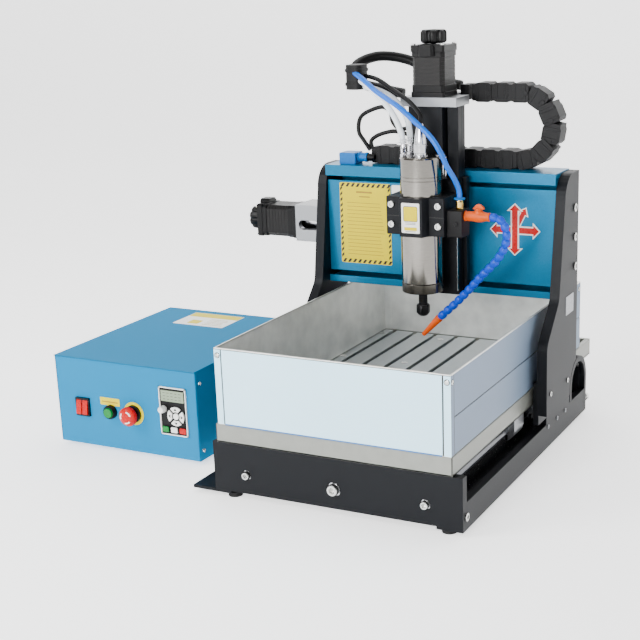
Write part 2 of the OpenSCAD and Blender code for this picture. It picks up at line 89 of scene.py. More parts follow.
# ---- camera ----
def make_camera():
    """The camera, placed as the photograph shows the machine."""
    stand = Vector((816.7, -1497.2, 736.8))
    target = Vector((-0.7, 149.4, 200.3))
    forward = (target - stand).normalized()
    right = forward.cross(Vector(UP)).normalized()
    up = right.cross(forward)
    roll = math.radians(-1.61)
    side = right * math.cos(roll) + up * math.sin(roll)
    top = up * math.cos(roll) - right * math.sin(roll)
    data = bpy.data.cameras.new("camera")
    data.sensor_width = 36
    data.lens = 72.21
    data.shift_x = -0.0863
    data.shift_y = 0.0469
    data.clip_end = 100
    camera = bpy.data.objects.new("camera", data)
    bpy.context.collection.objects.link(camera)
    place = at(*stand)
    camera.matrix_world = Matrix.Translation(place) @ Matrix((side, top, -forward)).transposed().to_4x4()
    bpy.context.scene.camera = camera


make_camera()


# ---- materials ----
def linear(red, green, blue):
    """A colour from its 0 to 255 display values."""
    return tuple((c / 255) ** 2.2 for c in (red, green, blue)) + (1,)


def paint(
    name, colour, rough, metal=0.0, spread=0.08, grain=120, stretch=(1, 1, 1), bump=0.05, shine=0.35,
):
    """A material whose shade and roughness wander a little with a noise, stretched where it is brushed."""
    material = bpy.data.materials.new(name)
    material.use_nodes = True
    nodes = material.node_tree.nodes
    link = material.node_tree.links.new
    shader = nodes["Principled BSDF"]
    shader.inputs["Metallic"].default_value = metal
    shader.inputs["Specular IOR Level"].default_value = shine
    place = nodes.new("ShaderNodeTexCoord")
    scale = nodes.new("ShaderNodeMapping")
    scale.inputs["Scale"].default_value = stretch
    noise = nodes.new("ShaderNodeTexNoise")
    noise.inputs["Scale"].default_value = grain
    noise.inputs["Detail"].default_value = 5
    link(place.outputs["Object"], scale.inputs["Vector"])
    link(scale.outputs["Vector"], noise.inputs["Vector"])
    tint = nodes.new("ShaderNodeValToRGB")
    for stop, factor in zip(tint.color_ramp.elements, (1 - spread, 1 + spread)):
        stop.color = tuple(min(1, c * factor) for c in colour[:3]) + (1,)
    tint.color_ramp.elements[0].position = 0.3
    tint.color_ramp.elements[1].position = 0.7
    link(noise.outputs["Fac"], tint.inputs["Fac"])
    link(tint.outputs["Color"], shader.inputs["Base Color"])
    polish = nodes.new("ShaderNodeMapRange")
    polish.inputs["To Min"].default_value = rough * 0.85
    polish.inputs["To Max"].default_value = min(1, rough * 1.15)
    link(noise.outputs["Fac"], polish.inputs["Value"])
    link(polish.outputs["Result"], shader.inputs["Roughness"])
    if bump:
        relief = nodes.new("ShaderNodeBump")
        relief.inputs["Strength"].default_value = bump
        relief.inputs["Distance"].default_value = 0.0004
        link(noise.outputs["Fac"], relief.inputs["Height"])
        link(relief.outputs["Normal"], shader.inputs["Normal"])
    return material


ANODISED = paint("black_anodised", linear(16, 18, 22), 0.46, spread=0.12, grain=900, bump=0.1, shine=0.16)
BEAM_BLUE = paint("blue_anodised", linear(0, 98, 134), 0.3, metal=0.45, spread=0.06, grain=400, shine=0.2)
CASE_BLUE = paint(
    "blue_powder_coat", linear(0, 112, 156), 0.6, spread=0.03, grain=1500, bump=0.1, shine=0.04,
)
SHEET = paint("galvanised_sheet", linear(226, 226, 221), 0.34, metal=0.7, spread=0.12, grain=34, bump=0.03)
FILM = paint("protective_film", linear(189, 230, 249), 0.32, spread=0.02, grain=9, bump=0.1)
# The same film as on the front, painted darker for the sides: painted shade.
SHADED_SIDE_FILM = paint("side_film_painted_shade", linear(110, 126, 146), 0.4, spread=0.05, grain=9, bump=0.1, shine=0.2)
TRAY = paint("tray_sheet", linear(128, 130, 124), 0.4, metal=0.4, spread=0.05, grain=60)
BED = paint("bed_aluminium", linear(150, 156, 158), 0.36, metal=0.6, grain=160, stretch=(6, 0.3, 6))
GREY_LABEL = paint("grey_label", linear(156, 158, 162), 0.45, spread=0.25, grain=420)
# Paler than the floor's own colour: painted light that brightens the shaded channel floors.
PAINTED_LIGHT_FLOOR = paint("channel_floor_painted_light", linear(170, 172, 176), 0.55, spread=0.12, grain=60, bump=0.1, shine=0.2)
RAIL = paint("rail_steel", linear(96, 98, 102), 0.26, metal=1.0, spread=0.1, grain=300)
BED_BASE = paint("bed_base_aluminium", linear(54, 56, 58), 0.5, metal=0.5, grain=160)
MILLED = paint("milled_aluminium", linear(140, 142, 145), 0.32, metal=0.85, grain=220, stretch=(8, 0.2, 8))
STEEL = paint("ground_steel", linear(196, 196, 200), 0.14, metal=1.0, spread=0.05, grain=300)
LENGTHWISE = (0.4, 0.4, 5)
BRUSHED = paint("brushed_steel", linear(122, 119, 114), 0.13, 1.0, grain=240, stretch=LENGTHWISE, bump=0.02)
BAND = paint("dark_band", linear(88, 85, 80), 0.24, 1.0, grain=240, stretch=LENGTHWISE, bump=0.02)
ZINC = paint("zinc", linear(200, 200, 198), 0.26, metal=1.0, spread=0.1, grain=500)
BRASS = paint("brass", linear(204, 172, 96), 0.24, metal=1.0, grain=300)
NUT = paint("black_oxide", linear(24, 24, 26), 0.3, metal=0.5, spread=0.1, grain=500)
MOTOR = paint("motor_black", linear(12, 12, 13), 0.36, spread=0.15, grain=700, bump=0.1, shine=0.18)
LAMINATED = paint("motor_core", linear(24, 23, 23), 0.4, spread=0.2, grain=900, shine=0.2)
BLACK = paint("black_plastic", linear(14, 14, 16), 0.5, spread=0.12, grain=900, bump=0.12, shine=0.2)
SOFT_BLACK = paint("cable_black", linear(9, 9, 10), 0.46, spread=0.15, grain=600, bump=0.12, shine=0.2)
HOSE_BLUE = paint("hose_blue", linear(0, 62, 178), 0.34, spread=0.06, grain=500, shine=0.25)
TUBE_BLUE = paint("tube_blue", linear(0, 90, 186), 0.24, spread=0.05, grain=300, shine=0.25)
SOCKET_BLUE = paint("socket_blue", linear(0, 92, 158), 0.34, spread=0.06, grain=400, shine=0.2)
EDGE_BLUE = paint("edge_blue", linear(0, 90, 160), 0.35, spread=0.05, grain=200)
ORANGE = paint("orange_plastic", linear(196, 76, 0), 0.36, spread=0.06, grain=500, shine=0.2)
RED = paint("red_plastic", linear(172, 0, 4), 0.28, spread=0.05, grain=300, shine=0.2)
GREEN = paint("green_plastic", linear(0, 112, 50), 0.25, spread=0.05, grain=300, shine=0.2)
WHITE = paint("white_plastic", linear(226, 226, 222), 0.35, spread=0.03, grain=400)
RUBBER = paint("rubber", linear(14, 14, 15), 0.7, spread=0.15, grain=600, bump=0.2)
YELLOW = paint("yellow_print", linear(206, 186, 0), 0.42, spread=0.03, grain=300, shine=0.1)
INK = paint("black_print", linear(14, 13, 12), 0.42, spread=0.1, grain=300)
PALE = paint("pale_print", linear(226, 226, 222), 0.4, spread=0.03, grain=300)
FAINT = paint("faint_print", linear(146, 116, 10), 0.42, spread=0.06, grain=300)
SCREEN = paint("screen", linear(126, 140, 118), 0.15, spread=0.05, grain=300)
SEGMENT = paint("display_segment", linear(44, 54, 38), 0.3, spread=0.05, grain=300)
CLEAR = paint("clear_hose", linear(212, 218, 222), 0.2, spread=0.06, grain=200)


# ---- shapes ----
class Shape:
    """Collects solids given in the machine's millimetres, and makes one piece of them."""

    def __init__(self):
        """An empty mesh."""
        self.mesh = bmesh.new()

    def solid(self, points, faces):
        """A solid from its corners and faces."""
        verts = [self.mesh.verts.new(at(*p)) for p in points]
        for face in faces:
            self.mesh.faces.new([verts[i] for i in face])
        return self

    def box(self, low, high):
        """A box between two corners."""
        points = [(x, y, z) for x in (low[0], high[0]) for y in (low[1], high[1]) for z in (low[2], high[2])]
        faces = [(0, 1, 3, 2), (4, 6, 7, 5), (0, 4, 5, 1), (2, 3, 7, 6), (0, 2, 6, 4), (1, 5, 7, 3)]
        return self.solid(points, faces)

    def rings(self, points, sides):
        """A solid through rings of points, closed at both ends."""
        last = len(points) - sides
        faces = [tuple(range(sides))[::-1], tuple(range(last, last + sides))]
        for ring in range(0, last, sides):
            for k in range(sides):
                j = (k + 1) % sides
                faces.append((ring + k, ring + j, ring + sides + j, ring + sides + k))
        return self.solid(points, faces)

    def turned(self, start, direction, profile, sides=32, wave=None):
        """A solid of revolution from (along, radius) pairs; wave(angle, ring) scales the radius."""
        axis = Vector(direction).normalized()
        across = axis.orthogonal().normalized()
        other = axis.cross(across)
        points = []
        for ring, (along, radius) in enumerate(profile):
            for k in range(sides):
                angle = 2 * math.pi * k / sides
                r = radius * (wave(angle, ring) if wave else 1)
                spoke = across * math.cos(angle) + other * math.sin(angle)
                points.append(Vector(start) + axis * along + spoke * r)
        return self.rings(points, sides)

    def rod(self, start, end, radius, sides=24):
        """A round rod between two points."""
        length = (Vector(end) - Vector(start)).length
        return self.turned(start, Vector(end) - Vector(start), [(0, radius), (length, radius)], sides)

    def prism(self, outline, place, low, high):
        """An outline of (u, v) points drawn from depth low to high, where place(u, v, depth) is a point."""
        n = len(outline)
        points = [place(u, v, low) for u, v in outline] + [place(u, v, high) for u, v in outline]
        faces = [tuple(range(n))[::-1], tuple(range(n, 2 * n))]
        faces += [(k, (k + 1) % n, n + (k + 1) % n, n + k) for k in range(n)]
        return self.solid(points, faces)

    def swept(self, route, radius, sides=12):
        """A round tube along points that lie close together."""
        points = []
        spoke = Vector((0.1, 1, 0.2))
        n = len(route)
        for i, p in enumerate(route):
            ahead = (Vector(route[min(i + 1, n - 1)]) - Vector(route[max(i - 1, 0)])).normalized()
            spoke = (spoke - ahead * spoke.dot(ahead)).normalized()
            other = ahead.cross(spoke)
            for k in range(sides):
                angle = 2 * math.pi * k / sides
                points.append(Vector(p) + (spoke * math.cos(angle) + other * math.sin(angle)) * radius)
        return self.rings(points, sides)

    def make(self, name, body, material, slot, edge=0.0):
        """The piece itself, riding on a CAD body if one is named; edge is its rounding in millimetres."""
        bmesh.ops.recalc_face_normals(self.mesh, faces=self.mesh.faces)
        mark_sharp(self.mesh)
        data = bpy.data.meshes.new(name)
        self.mesh.to_mesh(data)
        self.mesh.free()
        piece = bpy.data.objects.new(name, data)
        bpy.context.collection.objects.link(piece)
        data.materials.append(material)
        if edge:
            round_edges(piece, edge)
        if body:
            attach(piece, body)
        return piece


def mark_sharp(mesh):
    """Smooth shading, with sharp edges where two faces turn by more than 35 degrees."""
    for face in mesh.faces:
        face.smooth = True
    for line in mesh.edges:
        line.smooth = len(line.link_faces) == 2 and line.calc_face_angle(0) < math.radians(35)


def round_edges(piece, width):
    """Rounds the sharp edges of a piece by a width in millimetres."""
    edge = piece.modifiers.new("edge", "BEVEL")
    edge.width = width * MM
    edge.segments = 2
    edge.limit_method = "ANGLE"
    edge.angle_limit = math.radians(40)
    edge.harden_normals = True


def dress(node, material, edge=0.0):
    """Paints a shown CAD node and rounds its edges."""
    piece = frame["nodes"][node]
    piece.data.materials.clear()
    piece.data.materials.append(material)
    if edge:
        weld = piece.modifiers.new("weld", "WELD")
        weld.merge_threshold = 0.00001
        round_edges(piece, edge)


def spline(route, steps):
    """Points close together on a smooth curve through a route, as the part's tubes follow it."""
    points = [Vector(p) for p in route]
    out = []
    for i in range(len(points) - 1):
        a, b = points[max(i - 1, 0)], points[i]
        c, d = points[i + 1], points[min(i + 2, len(points) - 1)]
        for k in range(steps):
            t = k / steps
            bend = (2 * a - 5 * b + 4 * c - d) * t * t + (3 * b - a - 3 * c + d) * t * t * t
            out.append((2 * b + (c - a) * t + bend) / 2)
    return out + [points[-1]]


# ---- places on flat faces, and outlines ----
def on_front(y):
    """Points on a face that looks to the front: u to the right, v up, depth outwards."""
    return lambda u, v, depth: (u, y - depth, v)


def on_top(z):
    """Points on a face that looks up: u to the right, v to the back, depth outwards."""
    return lambda u, v, depth: (u, v, z + depth)


def on_right(x):
    """Points on a face that looks to the right: u to the back, v up, depth outwards."""
    return lambda u, v, depth: (x + depth, u, v)


def on_back(y):
    """Points on a face that looks to the back: u to the left, v up, depth outwards."""
    return lambda u, v, depth: (-u, y + depth, v)


def rounded(low, high, radius, steps=5):
    """The outline of a rectangle with round corners."""
    outline = []
    centres = (
        (high[0] - radius, high[1] - radius, 0),
        (low[0] + radius, high[1] - radius, 90),
        (low[0] + radius, low[1] + radius, 180),
        (high[0] - radius, low[1] + radius, 270),
    )
    for u, v, start in centres:
        for k in range(steps + 1):
            angle = math.radians(start + 90 * k / steps)
            outline.append((u + radius * math.cos(angle), v + radius * math.sin(angle)))
    return outline


def flat(u0, v0, u1, v1):
    """The outline of a rectangle with sharp corners."""
    return [(u0, v0), (u1, v0), (u1, v1), (u0, v1)]


# ---- hoses and cables ----
def hose(name, node, route, radius, bodies, material, slot):
    """One flexible line. Between two bodies it stays fixed in the frame, attached to neither; otherwise it
    rides on one.
    """
    points = spline(route, 6)
    shape = Shape().swept(points, radius, 14)
    two = len(bodies) == 2
    piece = shape.make(name, None if two else bodies[0], material, slot)
    if two:
        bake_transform(piece)
    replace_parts(piece, node)
    return piece


LOOP = [
    (-136, 425, 458), (-148, 425, 474), (-156, 425, 486), (-156, 425, 502), (-150, 425, 514),
    (-134, 425, 523), (-112, 425, 529), (-98, 425, 522), (-94, 425, 506), (-82, 425, 494),
    (-62, 425, 497), (-46, 425, 500), (-32, 427, 492), (-24, 430, 480), (-22, 430, 469),
]
SHORT = [
    (-134.5, 430, 460), (-137, 431, 472), (-126, 432, 481), (-108, 432, 487), (-92, 432, 489),
    (-70, 434, 484), (-58, 436, 477), (-56, 436, 469),
]
HARNESS = [
    (26, 430, 565), (4, 431, 570), (-28, 430, 588), (-66, 422, 606), (-104, 402, 612),
    (-128, 374, 602), (-126, 352, 584), (-104, 346, 572), (-74, 345, 566), (-54, 345, 562),
    (-36, 346, 559),
]
LINES = [
    [(-14, 290, 489), (-15, 290, 501), (-23, 291, 521), (-38, 295, 541), (-60, 303, 559),
     (-86, 314, 575), (-108, 327, 582)],
    [(-11, 311, 489), (-11, 311, 501), (-15, 312, 522), (-28, 315, 543), (-50, 321, 558),
     (-78, 327, 567), (-104, 331, 571)],
    [(11.5, 300, 519.5), (10, 302, 533), (-14, 312, 552), (-44, 324, 566), (-76, 332, 582),
     (-110, 336, 588)],
]
AIR = [
    (75, 300, 405.5), (74.5, 299, 420), (70, 292, 438), (62, 284, 456), (56, 279, 474),
    (40, 277, 500), (12, 277, 525), (-17, 279, 547), (-54, 288, 566), (-84, 304, 582),
    (-112, 322, 594),
]


def make_lines():
    """The seven lines, and the holder that gathers four of them on the harness."""
    hose("sensor_cable", "frame_cables", LOOP, 3.5, ["frame"], SOFT_BLACK, "cable_black")
    hose("motor_cable", "frame_cables", SHORT, 3.5, ["frame"], SOFT_BLACK, "cable_black")
    hose("harness", "cable_harness", HARNESS, 8, ["x_carriage"], SOFT_BLACK, "cable_black")
    pair = ["z_carriage", "x_carriage"]
    hose("water_hose_front", "spindle_lines", LINES[0], 4.7, pair, CLEAR, "clear_hose")
    hose("water_hose_rear", "spindle_lines", LINES[1], 4.7, pair, CLEAR, "clear_hose")
    hose("spindle_cable", "spindle_lines", LINES[2], 3.5, pair, SOFT_BLACK, "cable_black")
    hose("blue_tube", "air_tube", AIR, 4.2, pair, TUBE_BLUE, "blue_hose")
    holder = Shape()
    for low, high, grow in ((0, 38, 0), (6, 11, 1.2), (27, 32, 1.2)):
        holder.prism(rounded((-124 - grow, 315 - grow), (-97 + grow, 350 + grow), 9), on_top(566), low, high)
    holder.make("hose_holder", "x_carriage", BLACK, "black_plastic", 0.8)


make_lines()


# ---- screws, motors and knobs ----
def hexagon(angle):
    """The radius of a hexagon's edge at an angle, for a circle of radius 1 through its corners."""
    return math.cos(math.pi / 6) / math.cos((angle % (math.pi / 3)) - math.pi / 6)


def socket_head(shape, place, direction, radius, height):
    """A cap screw's head with its hexagon socket."""
    profile = [
        (0, radius * 0.96), (height * 0.2, radius), (height * 0.8, radius), (height, radius * 0.86),
        (height, radius * 0.6), (height * 0.4, radius * 0.56),
    ]
    shape.turned(place, direction, profile, 24, lambda angle, ring: hexagon(angle) if ring >= 4 else 1)


SCREW_SEAT = [(0, 4.4), (0.3, 4.3)]
SHEET_SCREW = [(0, 3.5), (0.8, 3.2), (1.3, 2), (0.7, 1.6)]
CASE_SCREW = [(0, 3.2), (0.8, 2.9), (1.3, 1.6), (0.7, 1.2)]


def scallop(angle, ring):
    """The wavy rim of a hand knob with eight finger hollows."""
    return 1 - 0.13 * max(0, math.cos(8 * angle)) ** 0.7


def hand_knob(name, body, node, start, direction):
    """The knob on a motor's rear shaft."""
    profile = [
        (0, 10), (0, 17), (2, 19.6), (4, 20.2), (15, 20.2), (18, 19.4), (20, 17), (20, 9),
        (17.5, 8), (17.5, 5), (19, 4),
    ]
    piece = Shape().turned(start, direction, profile, 96, scallop).make(name, body, MOTOR, "motor_black")
    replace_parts(piece, node)


def threaded(name, body, node, start, end, radius, thread, journals):
    """A lead screw: thread is the (from, to) length with 5 mm turns, journals are its plain ends."""
    axis = (Vector(end) - Vector(start)).normalized()
    shape = Shape()
    profile = [(thread[0] + k * 1.25, radius * 0.96) for k in range(int((thread[1] - thread[0]) / 1.25) + 1)]
    turn = 2 * math.pi / 5

    def ridge(angle, ring):
        """A ridge that winds round the rod once in every 5 mm."""
        return 1 + 0.045 * math.cos(angle - turn * profile[ring][0])

    shape.turned(start, axis, profile, 16, ridge)
    for low, high, r in journals:
        shape.turned(start, axis, [(low, r * 0.9), (low + 1, r), (high - 1, r), (high, r * 0.9)], 24)
    piece = shape.make(name, body, STEEL, "ground_steel")
    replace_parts(piece, node)


def cut_square(half, cut):
    """The outline of a square with cut corners, as a motor's frame has."""
    near = half - cut
    return [
        (half, near), (near, half), (-near, half), (-half, near),
        (-half, -near), (-near, -half), (near, -half), (half, -near),
    ]


def motor(name, body, node, place):
    """A stepping motor; place(u, v, depth) runs along its shaft from the mounting face."""
    caps, core = Shape(), Shape()
    for low, high, half in ((0, 8, 28), (8, 18, 27.5), (60, 68, 27.5), (68, 78, 28)):
        caps.prism(cut_square(half, 3 if half == 28 else 5), place, low, high)
    caps.prism(cut_square(13, 4), lambda u, v, d: place(u, v + 22, d), 62, 79.5)
    for k in range(7):
        core.prism(cut_square(26.6, 6), place, 18 + 6 * k, 23.4 + 6 * k)
    core.prism(cut_square(26, 6), place, 18, 60)
    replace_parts(caps.make(name + "_caps", body, MOTOR, "motor_black", 0.5), node)
    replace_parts(core.make(name + "_core", body, LAMINATED, "motor_black"), node)
    heads = Shape()
    for u, v in ((23.5, 23.5), (-23.5, 23.5), (-23.5, -23.5), (23.5, -23.5)):
        low, high = place(u, v, 78), place(u, v, 80)
        socket_head(heads, low, Vector(high) - Vector(low), 3.2, 2.4)
    piece = heads.make(name + "_screws", body, ZINC, "zinc")
    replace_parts(piece, node)


def make_drives():
    """The three motors, their knobs and the lead screws."""
    x_end = (-342, X_SCREW_Y, X_SCREW_Z)
    y_end = (0, 644, Y_SCREW_Z)
    z_end = (SPIN_X, Z_SCREW_Y, 635)
    motor("x_motor", "frame", "frame_motors", lambda u, v, d: (-262 - d, X_SCREW_Y + u, X_SCREW_Z + v))
    motor("y_motor", "frame", "frame_motors", lambda u, v, d: (u, 564 + d, Y_SCREW_Z - v))
    motor("z_motor", "x_carriage", "z_motor", lambda u, v, d: (SPIN_X + u, Z_SCREW_Y - v, 555 + d))
    hand_knob("x_knob", "x_screw", "x_ball_screw", x_end, (-1, 0, 0))
    hand_knob("y_knob", "y_screw", "y_ball_screw", y_end, (0, 1, 0))
    hand_knob("z_knob", "z_screw", "z_ball_screw", z_end, UP)
    threaded("x_screw", "x_screw", "x_ball_screw", x_end, (209, X_SCREW_Y, X_SCREW_Z), 6, (124, 542),
             [(0, 84, 4), (86, 120, 12.5), (120, 126, 5.8), (541, 551, 5.8)])
    threaded("y_screw", "y_screw", "y_ball_screw", (0, 20, Y_SCREW_Z), y_end, 8, (6, 520),
             [(0, 8, 7.8), (519, 544, 7.8), (543, 624, 4)])
    threaded("z_screw", "z_screw", "z_ball_screw", (SPIN_X, Z_SCREW_Y, 244), z_end, 6, (8, 220),
             [(0, 10, 5.8), (219, 311, 5.8), (310, 391, 4)])


# ---- base ----
def make_base():
    """The bolts, the feet, the floors of the side channels, painted pale as painted light where they lie in
    shade, and a blank plate on the gantry.
    """
    bolts, small_bolts, washers = Shape(), Shape(), Shape()
    for x in (-145, 143):
        socket_head(bolts, (x, 4, 33), FRONTWARD, 6.2, 8)
        washers.turned((x, 5.5, 33), FRONTWARD, [(0, 7.6), (1.5, 7.6), (1.5, 6.6), (0.4, 6.4)], 32)
    socket_head(bolts, (0, 4, 33), FRONTWARD, 8.8, 9)
    washers.turned((0, 5.5, 33), FRONTWARD, [(0, 10.6), (1.5, 10.6), (1.5, 9.2), (0.4, 9)], 32)
    for s in (-1, 1):
        socket_head(bolts, (s * BASE_SIDE, 12, 20), (s, 0, 0), 6, 2.5)
        bolts.rod((s * 196, 564, 20), (s * 196, 582, 20), 4)
        bolts.turned((s * 196, 569, 20), (0, 1, 0), [(0, 6.4), (0.6, 7), (6, 7), (6.6, 6.4)], 6)
        for y, z in ((430, 379), (435, 284)):
            socket_head(bolts, (s * PLATE_SIDE, y, z), (s, 0, 0), 6.5, 3)
        for y, z in ((321, 104.5), (405, 102.3)):
            socket_head(bolts, (s * PLATE_SIDE, y, z), (s, 0, 0), 4, 2)
        for y in (360, 405, 447):
            socket_head(small_bolts, (s * BASE_SIDE, y, 35.5), (s, 0, 0), 3.5, 1.5)
    socket_head(bolts, (PLATE_SIDE, 432, 332), (1, 0, 0), 6.5, 3)
    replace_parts(bolts.make("frame_bolts", "frame", ZINC, "zinc"), "frame_bolts")
    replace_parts(small_bolts.make("base_bolts", "frame", MILLED, "zinc"), "frame_bolts")
    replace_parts(washers.make("bolt_washers", "frame", STEEL, "ground_steel"), "frame_bolts")
    pads = Shape()
    spots = [(x, y) for x in (-174, 174) for y in (14, 550)]
    spots += [(x, y) for x in (-535, -318) for y in (123, 397)]
    for x, y in spots:
        profile = [(0, 10.8), (1.2, 11.1), (3, 10.6), (4.4, 9.6), (5, 9.6), (5.6, 10.8), (7, 11)]
        pads.turned((x, y, -7), UP, profile, 32)
    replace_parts(pads.make("feet", "frame", RUBBER, "rubber"), "feet")
    # Thin pale sheets on the channel floors: painted light in the shade under the tray.
    floors = Shape()
    for x in (-169, 169):
        floors.prism(flat(x - 18.5, 14, x + 18.5, 549), on_top(5), 0, 0.3)
    floors.make("channel_floor_painted_light", "frame", PAINTED_LIGHT_FLOOR, "dark_plate")
    marks = Shape()
    marks.prism(rounded((393, 212), (431, 242), 2), on_right(PLATE_SIDE), 0, 0.5)
    marks.make("blank_plate", "frame", GREY_LABEL, "dark_plate")


# ---- beam ----
def arrow(tail, tip, wide, head_wide, head_long):
    """The outline of an arrow between two (u, v) points."""
    a, b = Vector(tail), Vector(tip)
    ahead = (b - a).normalized()
    side = Vector((-ahead.y, ahead.x))
    neck = b - ahead * head_long
    points = (
        a - side * wide, neck - side * wide, neck - side * head_wide, b,
        neck + side * head_wide, neck + side * wide, a + side * wide,
    )
    return [(p.x, p.y) for p in points]


def make_beam():
    """The labels, arrows and cable socket on the gantry's beam, all without words."""
    face = on_front(BEAM_FRONT)
    yellow = Shape().prism(rounded((-178, 272), (-84, 408), 3), face, 0, 0.4)
    yellow.make("notice_plate", "frame", YELLOW, "blue_coat")
    ink, faint = Shape(), Shape()
    for k in range(10):
        u = -176 + k * 9.4
        for v in (401, 273):
            ink.prism([(u, v), (u + 4.5, v), (u + 8.5, v + 6), (u + 4, v + 6)], face, 0.4, 0.6)
    for k in range(13):
        v = 281 + k * 9.4
        for u in (-177, -89):
            ink.prism([(u, v), (u + 4, v + 4), (u + 4, v + 8.5), (u, v + 4.5)], face, 0.4, 0.6)
    ink.make("notice_stripes", "frame", INK, "blue_coat")
    for k in range(15):
        v = 374 - k * 6.2
        faint.prism(flat(-165, v, -104 + (k * 37) % 9, v + 0.9), face, 0.4, 0.5)
    faint.prism(flat(-147, 391, -118, 394), face, 0.4, 0.5)
    faint.prism(flat(-142, 384, -122, 386), face, 0.4, 0.5)
    faint.make("notice_rules", "frame", FAINT, "blue_coat")
    label = Shape().prism(rounded((-82, 391), (-62, 407), 2), face, 0, 0.4)
    label.make("small_label", "frame", PALE, "blue_coat")
    white, red = Shape(), Shape()
    for k, (tail, tip) in enumerate((
        ((132, 345.5), (150.5, 382)), ((132, 345.5), (116, 312)), ((132, 345), (90, 345)),
        ((132, 345), (174, 345)), ((132, 345), (132, 304)), ((132, 345), (132, 388)),
    )):
        slim = 0.75 if k < 2 else 1
        white.prism(arrow(tail, tip, 6.8 * slim, 13.4 * slim, 12.5), face, 0, 0.3 + 0.25 * k)
        back = (Vector(tip) - Vector(tail)).normalized() * 2
        inner = Vector(tip) - back
        red.prism(arrow(tail, inner, 4.8 * slim, 9.4 * slim, 9.5), face, 0, 0.4 + 0.25 * k)
    white.make("axis_arrow_edges", "frame", PALE, "blue_coat")
    red.make("axis_arrows", "frame", RED, "blue_coat")
    socket = Shape().prism(rounded((-180, 437), (-150, 456), 2), lambda u, v, d: (u, 396 + d, v), 0, 28)
    collar = [(0, 8), (3, 8.2), (4, 7.2), (12, 7.2), (13, 8), (17, 7.6)]
    socket.turned((-150, 410, 448), (1, 0, 0), collar, 32)
    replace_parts(socket.make("cable_socket", "frame", SOCKET_BLUE, "blue_plastic", 0.5), "cable_socket")
    nut = Shape().turned((-133.5, 410, 448), (1, 0, 0), [(0, 6.2), (6, 6.4), (12, 4.2)], 24, rib(12))
    nut.make("cable_gland", "frame", SOFT_BLACK, "cable_black")


def rib(count):
    """A wave that cuts shallow ribs around a turned piece."""
    return lambda angle, ring: 1 - 0.05 * (0.5 + 0.5 * math.cos(count * angle))


# ---- drag chain ----
def chain_link(shape, middle, ahead, up, wide):
    """One link of the drag chain: a box with a waist, 30 mm high and a little longer than the pitch."""
    side = Vector((0, 1, 0))
    half = 16.2
    outline = [
        (-half, -11), (-half + 5, -15), (half - 9, -15), (half - 5, -13), (half, -13),
        (half, 13), (half - 5, 13), (half - 9, 15), (-half + 5, 15), (-half, 11),
    ]

    def place(u, v, depth):
        """Points on the link's flank: u along the chain, v across it, depth to the back."""
        return tuple(Vector(middle) + ahead * u + up * v + side * depth)

    shape.prism(outline, place, -wide, wide)
    for u in (-9, 7):
        rim = [(u - 2.4, -13.5), (u + 2.4, -13.5), (u + 2.4, 13.5), (u - 2.4, 13.5)]
        shape.prism(rim, place, -wide - 0.7, wide + 0.7)
    pin = Vector(middle) - ahead * 11
    shape.turned(tuple(pin - side * (wide + 1.2)), side, [(0, 4), (2 * wide + 2.4, 4)], 16)


def make_chain():
    """Seventeen links: along the beam, round the bend and back to the carriage's arm."""
    middle_y, pitch, low, radius = 429.5, 30.7, 452, 52
    bend_x = 130
    flat_run = bend_x + 128
    arc = math.pi * radius
    lower, bend, upper = Shape(), Shape(), Shape()
    for k in range(17):
        along = 8 + pitch * (k + 0.5)
        wide = 17.5 if k % 2 else 15.8
        if along < flat_run:
            chain_link(lower, (-128 + along, middle_y, low), Vector((1, 0, 0)), Vector(UP), wide)
        elif along < flat_run + arc:
            angle = (along - flat_run) / radius
            middle = (bend_x + radius * math.sin(angle), middle_y, low + radius * (1 - math.cos(angle)))
            ahead = Vector((math.cos(angle), 0, math.sin(angle)))
            chain_link(bend, middle, ahead, Vector((-math.sin(angle), 0, math.cos(angle))), wide)
        elif along < flat_run + arc + bend_x - 31.5 - 14:
            x = bend_x - (along - flat_run - arc)
            middle = (x, middle_y, low + 2 * radius)
            chain_link(upper, middle, Vector((-1, 0, 0)), Vector((0, 0, -1)), wide)
    upper.box((31.5, 413, 544), (46, 446, 568))
    lower.prism(cut_square(13, 3), lambda u, v, d: (d, middle_y + u, 451 + v), -130, -122)
    for shape, name, start, end in (
        (lower, "chain_lower", -130, 390), (bend, "chain_bend", -4870, 5130),
        (upper, "chain_upper", 258.7, 31.5),
    ):
        piece = shape.make(name, None, BLACK, "black_plastic", 0.6)
        at(start, 430, 500)
        at(end, 430, 500)
        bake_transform(piece)
        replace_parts(piece, "drag_chain")


